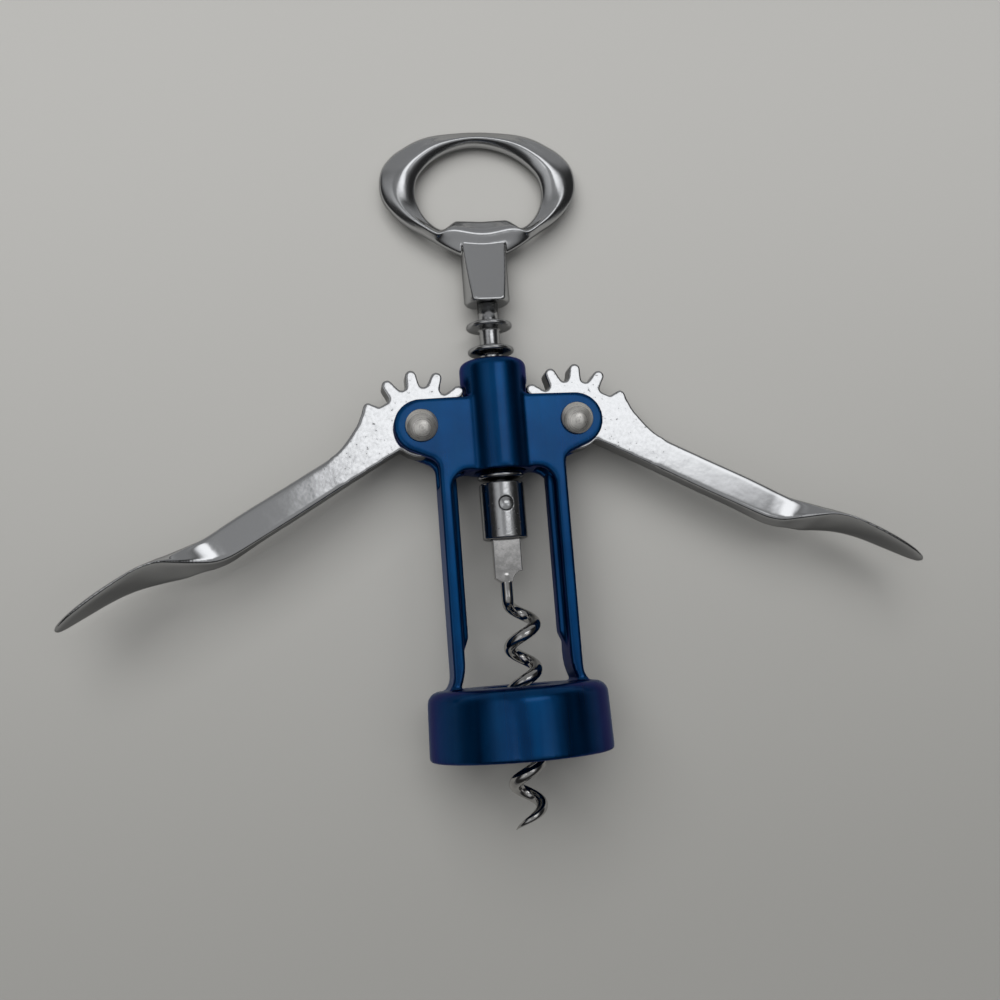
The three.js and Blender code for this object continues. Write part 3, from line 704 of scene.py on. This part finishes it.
def rivet_profile():
    rise = RIVET_HEIGHT - RIVET_EDGE
    dome = (RIVET_RADIUS ** 2 + rise ** 2) / (2 * rise)
    half_angle = math.degrees(math.asin(RIVET_RADIUS / dome))
    top = RIVET_UNDER + RIVET_HEIGHT
    head = [
        (RIVET_SHANK, RIVET_UNDER),
        (RIVET_RADIUS - RIVET_BEVEL, RIVET_UNDER),
        (RIVET_RADIUS, RIVET_UNDER + RIVET_BEVEL),
        *arc(0, top - dome, dome, 90 - half_angle, 90, steps=24),
    ]
    return [(r, -z) for r, z in reversed(head)] + head


rivets = {}
for name, side in (("left_pivot_rivet", -1), ("right_pivot_rivet", 1)):
    bm = bmesh.new()
    spun(bm, rivet_profile(), SHAFT_TURN, (side * PIVOT_OFFSET, 0, PIVOT_HEIGHT), True)
    rivets[name] = cast(linked("turned_" + name, bm))

# %% [markdown]
# The rack that the gears drive is no flat bar but a stack of round rings, so that the handle can turn while
# the levers hold it. One ring is four arcs: out of a fillet, round both halves of the rim, and back through a
# fillet. The rings follow each other at the pitch of the teeth.

# %% The ring rack
COLLAR_TOP = 55
RACK_PITCH = 5.3
RACK_ROOT = 2.15
RACK_BORE = 1.55
RACK_PLAY = 0.15
RINGS = range(-2, 5)
RING_RIM = 0.55
RING_FLAT = 0.02
RING_FOOT = 1.25
RING_FILLET = 0.45


def rack_profile():
    low, high = COLLAR_TOP + RACK_PLAY, STEM_BOTTOM - RACK_PLAY
    fillet, rim = RACK_ROOT + RING_FILLET, SHAFT_RADIUS - RING_RIM
    points = [(RACK_BORE, low), (RACK_ROOT, low)]
    for i in RINGS:
        middle = PIVOT_HEIGHT + i * RACK_PITCH
        points += arc(fillet, middle - RING_FOOT, RING_FILLET, 180, 90, steps=6)
        points += arc(rim, middle - RING_FLAT, RING_RIM, -90, 0, steps=6)
        points += arc(rim, middle + RING_FLAT, RING_RIM, 0, 90, steps=6)
        points += arc(fillet, middle + RING_FOOT, RING_FILLET, -90, -180, steps=6)
    return points + [(RACK_ROOT, high), (RACK_BORE, high), (RACK_BORE, low)]


bm = bmesh.new()
spun(bm, rack_profile(), SHAFT_TURN)
rack = cast(linked("turned_rack", bm))

# %% [markdown]
# The cross pin is a short turned rod with a small bevel at both ends. It goes through the collar and through
# the shank of the worm, and stops just inside the collar's skin.

# %% The cross pin
PIN_RADIUS = 1.4
PIN_HEIGHT = 50.4
PIN_HALF = 4.35
PIN_BEVEL = 0.12

bm = bmesh.new()
half_pin = [(0, PIN_HALF), (PIN_RADIUS - PIN_BEVEL, PIN_HALF), (PIN_RADIUS, PIN_HALF - PIN_BEVEL)]
spun(bm, [(r, -z) for r, z in half_pin] + half_pin[::-1], ROD_TURN, (0, 0, PIN_HEIGHT), True)
pin = cast(linked("turned_pin", bm))

# %% [markdown]
# The collar holds the worm to the shaft. It is a rough cast sleeve with worn edges, a slot for the flat
# shank of the worm, a hole for the spindle, and a hole across for the pin.

# %% The collar
COLLAR_BOTTOM = 43.45
COLLAR_RADIUS = 4.6
COLLAR_EDGE = 0.35
SLOT_WIDTH_HALF = 3.1
SLOT_GAP_HALF = 1.45
SLOT_TOP = 53.2
SPINDLE_HOLE = 1.5
SPINDLE_FLOOR = 53
PIN_CLEARANCE = 0.14
COLLAR_GRAIN = 0.12
COLLAR_ROUNDS = 2


def collar_profile():
    inset = COLLAR_RADIUS - COLLAR_EDGE
    low_edge = arc(inset, COLLAR_BOTTOM + COLLAR_EDGE, COLLAR_EDGE, -90, 0, steps=4)
    high_edge = arc(inset, COLLAR_TOP - COLLAR_EDGE, COLLAR_EDGE, 0, 90, steps=4)
    return [(0, COLLAR_BOTTOM), *low_edge, *high_edge, (0, COLLAR_TOP)]


def pin_hole(cutter):
    radius = PIN_RADIUS + PIN_CLEARANCE
    rod(cutter, radius, -2 * COLLAR_RADIUS, 2 * COLLAR_RADIUS, HOLE_TURN, (0, 0, PIN_HEIGHT), True)


bm = bmesh.new()
spun(bm, collar_profile(), SHAFT_TURN)
slot = bmesh.new()
slot_floor = [(side * SLOT_WIDTH_HALF, COLLAR_BOTTOM - OVERRUN) for side in (-1, 1)]
plate(slot, slot_floor + [(x, SLOT_TOP) for x, _ in reversed(slot_floor)], SLOT_GAP_HALF)
rod(slot, SPINDLE_HOLE, SPINDLE_FLOOR, COLLAR_TOP + OVERRUN, SLIM_TURN)
pin_hole(slot)
collar = cast(linked("cast_collar", bm), COLLAR_GRAIN, COLLAR_ROUNDS, linked("collar_cutters", slot))

# %% [markdown]
# The worm is a wire wound to a helix round an empty core. A few stations first lead straight down out of the
# shank, and rounds of averaging with their neighbours ease the wire from there into the first turn. The
# helix is not quite true: its middle wanders a little from the top to the point, as the real one does.

# %% The line of the wire
BLADE_SHOULDER = 36.8
WIRE_X = -0.5
WIRE_SETBACK = 0.6
STRAIGHT_STATIONS = 10
HELIX_RADIUS = 2.7
HELIX_PITCH = 9
HELIX_TOP = 30.6
HELIX_TURNS = 5
HELIX_MIDDLE_ABOVE = 2.2
HELIX_MIDDLE_BELOW = 0.35
STATIONS = 60
EASING_ROUNDS = 12


def worm_centres():
    steps = HELIX_TURNS * STATIONS
    start = BLADE_SHOULDER - WIRE_SETBACK
    straight = [start + (HELIX_TOP - start) * i / STRAIGHT_STATIONS for i in range(STRAIGHT_STATIONS)]
    points = [Vector((WIRE_X, 0, height)) for height in straight]
    for i in range(steps + 1):
        share = i / steps
        angle = math.pi - 2 * math.pi * HELIX_TURNS * share
        x = HELIX_MIDDLE_ABOVE + (HELIX_MIDDLE_BELOW - HELIX_MIDDLE_ABOVE) * share
        x += HELIX_RADIUS * math.cos(angle)
        height = HELIX_TOP - HELIX_PITCH * HELIX_TURNS * share
        points.append(Vector((x, HELIX_RADIUS * math.sin(angle), height)))
    for _ in range(EASING_ROUNDS):
        inner = [(a + 2 * b + c) / 4 for a, b, c in zip(points, points[1:], points[2:])]
        points = points[:1] + inner + points[-1:]
    return points


centres = worm_centres()
wire_length = sum((b - a).length for a, b in zip(centres, centres[1:]))
print("the winding takes", round(wire_length), "mm of wire in", HELIX_TURNS, "turns")

# %% [markdown]
# The same circle is set square to the line at every station, and the circles are bridged. Each one takes its
# direction from the one before it, or the skin would twist. Over the last half turn they get smaller, faster
# and faster, which draws the wire to a point.

# %% The wire
WIRE_RADIUS = 1.25
POINT_TURNS = 0.5
POINT_CURVE = 0.8
POINT_SHARE = 0.1


def wire(bm, centres, points=28):
    rows = []
    across = Vector((0, 1, 0))
    for i, centre in enumerate(centres):
        ahead = (centres[min(i + 1, len(centres) - 1)] - centres[max(i - 1, 0)]).normalized()
        across = (across - ahead * across.dot(ahead)).normalized()
        beside = ahead.cross(across)
        left = (len(centres) - 1 - i) / STATIONS
        radius = WIRE_RADIUS * max(POINT_SHARE, min(1, left / POINT_TURNS) ** POINT_CURVE)
        angles = [2 * math.pi * k / points for k in range(points)]
        rows.append([centre + radius * (across * math.cos(a) + beside * math.sin(a)) for a in angles])
    skin(bm, rows)


print("the skin of the wire has", face_count(wire, centres), "faces")

# %% [markdown]
# The shank is hammered flat, and one of its shoulders is ground hollow down to the wire. It is a plate that
# overlaps the start of the wire, so the remesh joins the two as forging does.

# %% The worm
BLADE_HALF_WIDTH = 2.85
BLADE_HALF = 1.2
BLADE_TOP = 52.9
BLADE_BEVEL = 1.3
WORM_GRAIN = 0.13
WORM_ROUNDS = 2

bm = bmesh.new()
wire(bm, centres)
hollow_radius = BLADE_HALF_WIDTH - WIRE_X - WIRE_RADIUS
blade_foot = BLADE_SHOULDER - hollow_radius
plate(bm, [
    (-BLADE_HALF_WIDTH, BLADE_TOP),
    (-BLADE_HALF_WIDTH, BLADE_SHOULDER - BLADE_BEVEL),
    (WIRE_X - WIRE_RADIUS, blade_foot),
    *arc(BLADE_HALF_WIDTH, blade_foot, hollow_radius, 180, 90, steps=14),
    (BLADE_HALF_WIDTH, BLADE_TOP),
], BLADE_HALF)
drill = bmesh.new()
pin_hole(drill)
worm = cast(linked("wound_worm", bm), WORM_GRAIN, WORM_ROUNDS, linked("worm_drill", drill))

# %% [markdown]
# The shapes are done, and the finishes come next. A shader is easier to read as a sum than as a web of
# boxes. This small class wraps a socket, so that a Python expression on it adds the Math nodes.

# %% Sockets that can be used in sums
def fill(tree, spot, value):
    if isinstance(value, Link):
        tree.links.new(value.socket, spot)
    else:
        spot.default_value = value


class Link:
    def __init__(self, tree, socket):
        self.tree = tree
        self.socket = socket

    def math(self, operation, other=None, swap=False):
        node = self.tree.nodes.new("ShaderNodeMath")
        node.operation = operation
        values = [self] if other is None else [other, self] if swap else [self, other]
        for spot, value in zip(node.inputs, values):
            fill(self.tree, spot, value)
        return Link(self.tree, node.outputs[0])

    def __add__(self, other):
        return self.math("ADD", other)

    def __radd__(self, other):
        return self.math("ADD", other, swap=True)

    def __sub__(self, other):
        return self.math("SUBTRACT", other)

    def __rsub__(self, other):
        return self.math("SUBTRACT", other, swap=True)

    def __mul__(self, other):
        return self.math("MULTIPLY", other)

    def __rmul__(self, other):
        return self.math("MULTIPLY", other, swap=True)

    def __pow__(self, other):
        return self.math("POWER", other)


print("a link can be added, subtracted, multiplied and raised to a power")

# %% [markdown]
# Every other node comes from one method. It takes the node's type, its settings, and the values or links of
# its sockets, which are named by their labels, or by their numbers where a label is there more than once. A
# Mix node has sockets for each kind of value, and 0, 6, 7 and output 2 are those for colours. A soft ramp, a
# mix and one axis of a vector are wanted often, so each has a shorter name.

# %% Nodes of any kind
class Nodes:
    def __init__(self, tree):
        self.tree = tree

    def node(self, kind, settings=None, out=0, **values):
        node = self.tree.nodes.new(kind)
        for name, value in (settings or {}).items():
            setattr(node, name, value)
        for name, value in values.items():
            key = int(name[1:]) if name[1:].isdigit() else name.replace("_", " ")
            fill(self.tree, node.inputs[key], value)
        return Link(self.tree, node.outputs[out])

    def ramp(self, value, low, high):
        return self.node("ShaderNodeMapRange", {"interpolation_type": "SMOOTHSTEP"}, Value=value,
                         From_Min=low, From_Max=high)

    def mix(self, share, first, second):
        return self.node("ShaderNodeMix", {"data_type": "RGBA"}, out=2, _0=share, _6=first, _7=second)

    def along(self, vector, axis):
        return self.node("ShaderNodeSeparateXYZ", out=axis, Vector=vector)


print("a tree can make any node, and has short names for a ramp, a mix and one axis of a vector")

# %% [markdown]
# A finish is one material. Its patterns are noise, read at the object's own coordinates, so they stay on the
# metal when a lever swings. The noise can be stretched and turned, as brush marks are, and a bump turns a
# height in millimetres into relief.

# %% A finish
OWN_PLACE = 3


class Finish(Nodes):
    def __init__(self, name, **values):
        self.material = bpy.data.materials.new(name)
        self.material.use_nodes = True
        super().__init__(self.material.node_tree)
        self.shader = self.tree.nodes["Principled BSDF"]
        self.place = self.node("ShaderNodeTexCoord", out=OWN_PLACE)
        self.set(**values)

    def set(self, **values):
        for name, value in values.items():
            fill(self.tree, self.shader.inputs[name.replace("_", " ")], value)

    def noise(self, scale, detail=2.0, roughness=0.5, stretch=(1, 1, 1), turned=(0, 0, 0)):
        where = self.node("ShaderNodeMapping", Vector=self.place, Rotation=turned, Scale=stretch)
        return self.node("ShaderNodeTexNoise", Vector=where, Scale=scale, Detail=detail, Roughness=roughness)

    def bump(self, height, distance, normal=None):
        values = {"Height": height, "Distance": distance * MM, "Strength": 1.0}
        if normal:
            values["Normal"] = normal
        return self.node("ShaderNodeBump", **values)


print("a finish reads its noise at the place on the piece, which is output", OWN_PLACE)

# %% [markdown]
# The frame wears a clear blue enamel over bright metal, so it is a dark blue metal with a thin coat on top,
# and not a blue paint. Fine streaks run across the tool where it was rubbed down, and soft clouds show where
# the coat is thicker. At a glancing angle such a coat stays blue, which the tint does.

# %% Blue enamel
BLUE_DEEP = (0, 0.031, 0.113, 1)
BLUE_CLEAR = (0, 0.064, 0.2, 1)
BLUE_GLANCE = (0.1, 0.25, 0.5, 1)
STREAK_STRETCH = (1, 0.05, 0.3)
BLUE_ROUGHNESS = 0.26
BLUE_DULLING = 0.1


def blue_enamel():
    blue = Finish("blue_enamel_coat", Metallic=0.97, Coat_Weight=0.2, Coat_Roughness=0.12,
                  Specular_Tint=BLUE_GLANCE)
    streaks = blue.noise(scale=420, detail=1.5, stretch=STREAK_STRETCH, turned=(TOOL_LEAN, 0, 0))
    clouds = blue.noise(scale=90, detail=3)
    shade = blue.ramp(streaks * 0.5 + clouds * 0.5, low=0.25, high=0.75)
    blue.set(Base_Color=blue.mix(shade, BLUE_DEEP, BLUE_CLEAR))
    blue.set(Roughness=BLUE_ROUGHNESS + BLUE_DULLING * blue.ramp(streaks, low=0.3, high=0.7))
    peel = blue.bump(blue.noise(scale=420), distance=0.02)
    blue.set(Normal=blue.bump(blue.noise(scale=2600), distance=0.004, normal=peel))
    return blue


blue = blue_enamel()
print("enamel streaks are turned by", round(math.degrees(TOOL_LEAN), 2), "degrees, as the tool is")

# %% [markdown]
# Chrome plate hides nothing of the casting under it. Round the rivets and on the rack the cast skin was left
# as it came from the mould, with pits and a coarse grain, while the bars and paddles were polished before
# plating. One mask, the distance from the rivets, fades the one into the other. The handle was brushed, so
# it has the same plate with a softer gloss. Thin plate darkens at its edges, which the tint does.

# %% Chrome plate
PLATE_GLANCE = (0.35, 0.35, 0.35, 1)
PLATE_HUE = (1, 1.008, 1.016)
PIT_SHADE = 0.45
PIT_TONE = 0.6
PIT_DULLING = 0.1
PIT_DEPTH = 0.6
GRAIN_TONE = 0.08
GRAIN_DULLING = 0.06
GRAIN_POLISHED = 0.06
GRAIN_CAST = 0.2
WAVES_CAST = 1.5
SKIN_ENDS = 34 * MM
SKIN_FULL = 13 * MM


def from_rivets(finish):
    across = finish.along(finish.place, 0).math("ABSOLUTE") - pivot.x
    up = finish.along(finish.place, 1) - pivot.y
    return (across ** 2 + up ** 2) ** 0.5


def chrome_plate(name, level, roughness, cast_everywhere, relief=1.0):
    chrome = Finish(name, Metallic=1.0, Specular_Tint=PLATE_GLANCE)
    cast_skin = chrome.ramp(from_rivets(chrome), SKIN_ENDS, SKIN_FULL)
    cast_skin = cast_everywhere + (1 - cast_everywhere) * cast_skin
    pits = chrome.ramp(chrome.noise(scale=1500), low=0.7, high=0.74) * cast_skin
    grain = chrome.noise(scale=1500, detail=3, roughness=0.65)
    waves = chrome.noise(scale=330)
    tone = chrome.ramp(grain, low=0.3, high=0.75) * cast_skin * GRAIN_TONE + pits * PIT_TONE
    clean = [level * hue for hue in PLATE_HUE]
    pitted = [part * PIT_SHADE for part in clean]
    chrome.set(Base_Color=chrome.mix(tone, [*clean, 1], [*pitted, 1]))
    dull = chrome.ramp(grain, low=0.35, high=0.65)
    chrome.set(Roughness=roughness + GRAIN_DULLING * cast_skin * dull + PIT_DULLING * pits)
    rolled = chrome.bump(waves * (1 + WAVES_CAST * cast_skin), distance=0.015)
    pocked = grain * (GRAIN_POLISHED + GRAIN_CAST * cast_skin) * relief - pits * PIT_DEPTH
    chrome.set(Normal=chrome.bump(pocked, distance=0.02, normal=rolled))
    return chrome


chrome = chrome_plate("chrome_plate", level=0.48, roughness=0.08, cast_everywhere=0.0)
brushed = chrome_plate("brushed_chrome_plate", level=0.5, roughness=0.17, cast_everywhere=0.25)
rough = chrome_plate("rough_chrome_plate", level=0.47, roughness=0.16, cast_everywhere=0.8, relief=4.0)
print("the cast skin fades out", SKIN_ENDS / MM, "mm from the rivets")

# %% [markdown]
# The rivet heads were turned and left satin. Their marks are rings round the rivet, so the noise is read
# along the distance from the rivet alone, and the same marks drive colour, gloss and relief.

# %% Satin nickel
NICKEL_DARK = (0.5, 0.485, 0.46, 1)
NICKEL_LIGHT = (0.72, 0.7, 0.66, 1)
NICKEL_ROUGHNESS = 0.24
NICKEL_DULLING = 0.14
MARK_STRETCH = 40
MARK_SCALE = 90.0
MARK_SHARE = 0.7
WEAR_SHARE = 0.3


def satin_nickel():
    nickel = Finish("satin_nickel_rivet", Metallic=0.85, Anisotropic=0.6)
    rings = nickel.node("ShaderNodeCombineXYZ", X=from_rivets(nickel) * MARK_STRETCH)
    marks = nickel.node("ShaderNodeTexNoise", Vector=rings, Scale=MARK_SCALE, Detail=3.0)
    wear = nickel.noise(scale=900, detail=3)
    shade = nickel.ramp(marks * MARK_SHARE + wear * WEAR_SHARE, low=0.35, high=0.65)
    nickel.set(Base_Color=nickel.mix(shade, NICKEL_DARK, NICKEL_LIGHT))
    nickel.set(Roughness=NICKEL_ROUGHNESS + NICKEL_DULLING * shade)
    worn = nickel.bump(wear, distance=0.01)
    nickel.set(Normal=nickel.bump(marks, distance=0.03, normal=worn))
    return nickel


nickel = satin_nickel()
print("turned marks lie round the rivets at", round(PIVOT_OFFSET, 2), "mm from the middle")

# %% [markdown]
# The worm is drawn steel wire, polished and a little darker than chrome. It is nearly a mirror, so its look
# comes from its round shape, and only a faint grain keeps the reflections from being too clean.

# %% Polished steel
STEEL_DARK = (0.4, 0.395, 0.385, 1)
STEEL_LIGHT = (0.48, 0.47, 0.46, 1)
STEEL_ROUGHNESS = 0.05
STEEL_DULLING = 0.05


def polished_steel():
    steel = Finish("polished_wire", Metallic=1.0)
    drawn = steel.noise(scale=700, detail=3, roughness=0.6)
    shade = steel.ramp(drawn, low=0.35, high=0.7)
    steel.set(Base_Color=steel.mix(shade, STEEL_DARK, STEEL_LIGHT))
    steel.set(Roughness=STEEL_ROUGHNESS + STEEL_DULLING * shade)
    steel.set(Normal=steel.bump(drawn, distance=0.006))
    return steel


steel = polished_steel()
print("finishes:", ", ".join(item.name for item in bpy.data.materials))

# %% [markdown]
# Each finished piece takes the place of its plain solid, and rides on the body that the imported record gives it,
# so that it moves with its joint. The pin was filed flush with the collar and has the collar's finish.

# %% Dress the tool
record = frame["record"]
riders = {node: body for body, nodes in record["behaviour"]["bodies"].items() for node in nodes}


def dressed(piece, node, finish):
    piece.data.polygons.foreach_set("use_smooth", [True] * len(piece.data.polygons))
    piece.data.materials.clear()
    piece.data.materials.append(finish.material)
    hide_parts(node)
    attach(piece, riders[node])
    print(piece.name, "stands for", node, "with", len(piece.data.polygons), "faces")


dressed(casting, "frame_casting", blue)
for name, piece in levers.items():
    dressed(piece, name, chrome)
dressed(handle, "handle", brushed)
for name, piece in rivets.items():
    dressed(piece, name, nickel)
dressed(rack, "ring_rack", rough)
dressed(collar, "worm_collar", rough)
dressed(pin, "cross_pin", rough)
dressed(worm, "worm", steel)

# %% [markdown]
# The table is one large pale sheet. A real studio table gets darker towards the viewer, away from the window, and
# painted shade stands for that: the table's colour fades from a lighter far side to a darker near side, so that
# the lamp can stay simple.

# %% The table
TABLE_HALF = 3
# Painted light falloff: the near colour is the table in painted shade, and the far colour is the table in painted
# light.
TABLE_NEAR_PAINTED_SHADE = (0.312, 0.307, 0.29, 1)
TABLE_FAR_PAINTED_LIGHT = (0.472, 0.465, 0.444, 1)
PAINTED_FALLOFF_FROM = -0.13
PAINTED_FALLOFF_TO = 0.1

table = bmesh.new()
bmesh.ops.create_grid(table, x_segments=1, y_segments=1, size=TABLE_HALF)
mesh = bpy.data.meshes.new("table_top")
table.to_mesh(mesh)
table.free()
floor = bpy.data.objects.new("table_top", mesh)
bpy.context.scene.collection.objects.link(floor)
paper = Finish("table_painted_falloff", Roughness=0.6)
# Painted shade: the colour fades from the darker near tone to the lighter far tone along the table, for the light
# falling off away from the window.
painted_falloff = paper.ramp(paper.along(paper.place, 1), PAINTED_FALLOFF_FROM, PAINTED_FALLOFF_TO)
paper.set(Base_Color=paper.mix(painted_falloff, TABLE_NEAR_PAINTED_SHADE, TABLE_FAR_PAINTED_LIGHT))
mesh.materials.append(paper.material)
print("the table is", 2 * TABLE_HALF, "m wide")

# %% [markdown]
# Metal shows its surroundings, so the world is what gives the chrome its look. It is a dark room with a
# paler ceiling and far wall, and a few soft bright patches: a window over the handle, a bright spot on
# either side and a pale wall on the left. Each patch is a product of ramps on the direction of the ray, with
# four edges across and four upwards: where it starts, is full, is full no more, and ends.

# %% The room that the metal shows
DAYLIGHT = (0.97, 0.98, 1, 1)
DARKEST = 0.03
CEILING = 0.38
FAR_WALL = 0.12
HORIZON = 0.1
BESIDE_UP = (-0.12, -0.05, 0.06, 0.16)

world = bpy.data.worlds.new("studio")
world.use_nodes = True
bpy.context.scene.world = world
sky = Nodes(world.node_tree)
towards = sky.node("ShaderNodeTexCoord")
x, y, z = [sky.along(towards, axis) for axis in range(3)]


def bright(across, up, strength):
    patch = sky.ramp(z, 0.0, HORIZON) * strength
    for part, edges in ((x, across), (y, up)):
        left, full_left, full_right, right = edges
        patch = patch * sky.ramp(part, left, full_left) * sky.ramp(part, right, full_right)
    return patch


ceiling = DARKEST + CEILING * sky.ramp(z, low=0.55, high=1.0)
far_wall = sky.ramp(z, low=0.2, high=0.08) * FAR_WALL
behind = bright(across=(-1.2, -1, 0.9, 1), up=(0.55, 0.75, 1, 1.2), strength=0.3)
window = bright(across=(-0.03, 0.045, 0.36, 0.6), up=(0.19, 0.3, 0.4, 0.6), strength=1.5)
beside = bright(across=(0.24, 0.32, 0.48, 0.62), up=BESIDE_UP, strength=0.8)
strip = bright(across=(-0.35, -0.3, -0.25, -0.2), up=BESIDE_UP, strength=1.1)
left_wall = bright(across=(-0.85, -0.6, -0.4, -0.25), up=(-0.5, -0.3, 0.5, 0.7), strength=0.35)
level = ceiling + far_wall + behind + window + beside + strip + left_wall
background = world.node_tree.nodes["Background"]
fill(world.node_tree, background.inputs["Strength"], level)
fill(world.node_tree, background.inputs["Color"], DAYLIGHT)
print("the room takes", len(world.node_tree.nodes), "nodes")

# %% [markdown]
# One large area lamp stands for the same window where it falls on the table and the enamel. It lies high and
# behind the handle, a little to the left, which draws the soft shadows towards the viewer. It is kept out of
# the reflections, because the patches in the world already draw the window there.

# %% The lamp
LAMP_PLACE = Vector((-0.5, 0.85, 1.75))
LAMP_SIZE = 1.6
LAMP_WATTS = 37

light = bpy.data.lights.new("window", "AREA")
light.size = LAMP_SIZE
light.energy = LAMP_WATTS
lamp = bpy.data.objects.new("window", light)
lamp.location = LAMP_PLACE
lamp.rotation_euler = (-LAMP_PLACE).to_track_quat("-Z", "Y").to_euler()
lamp.visible_glossy = False
bpy.context.scene.collection.objects.link(lamp)
bpy.context.scene.view_settings.view_transform = "Standard"
print("the lamp hangs", round(LAMP_PLACE.length, 2), "m from the tool")
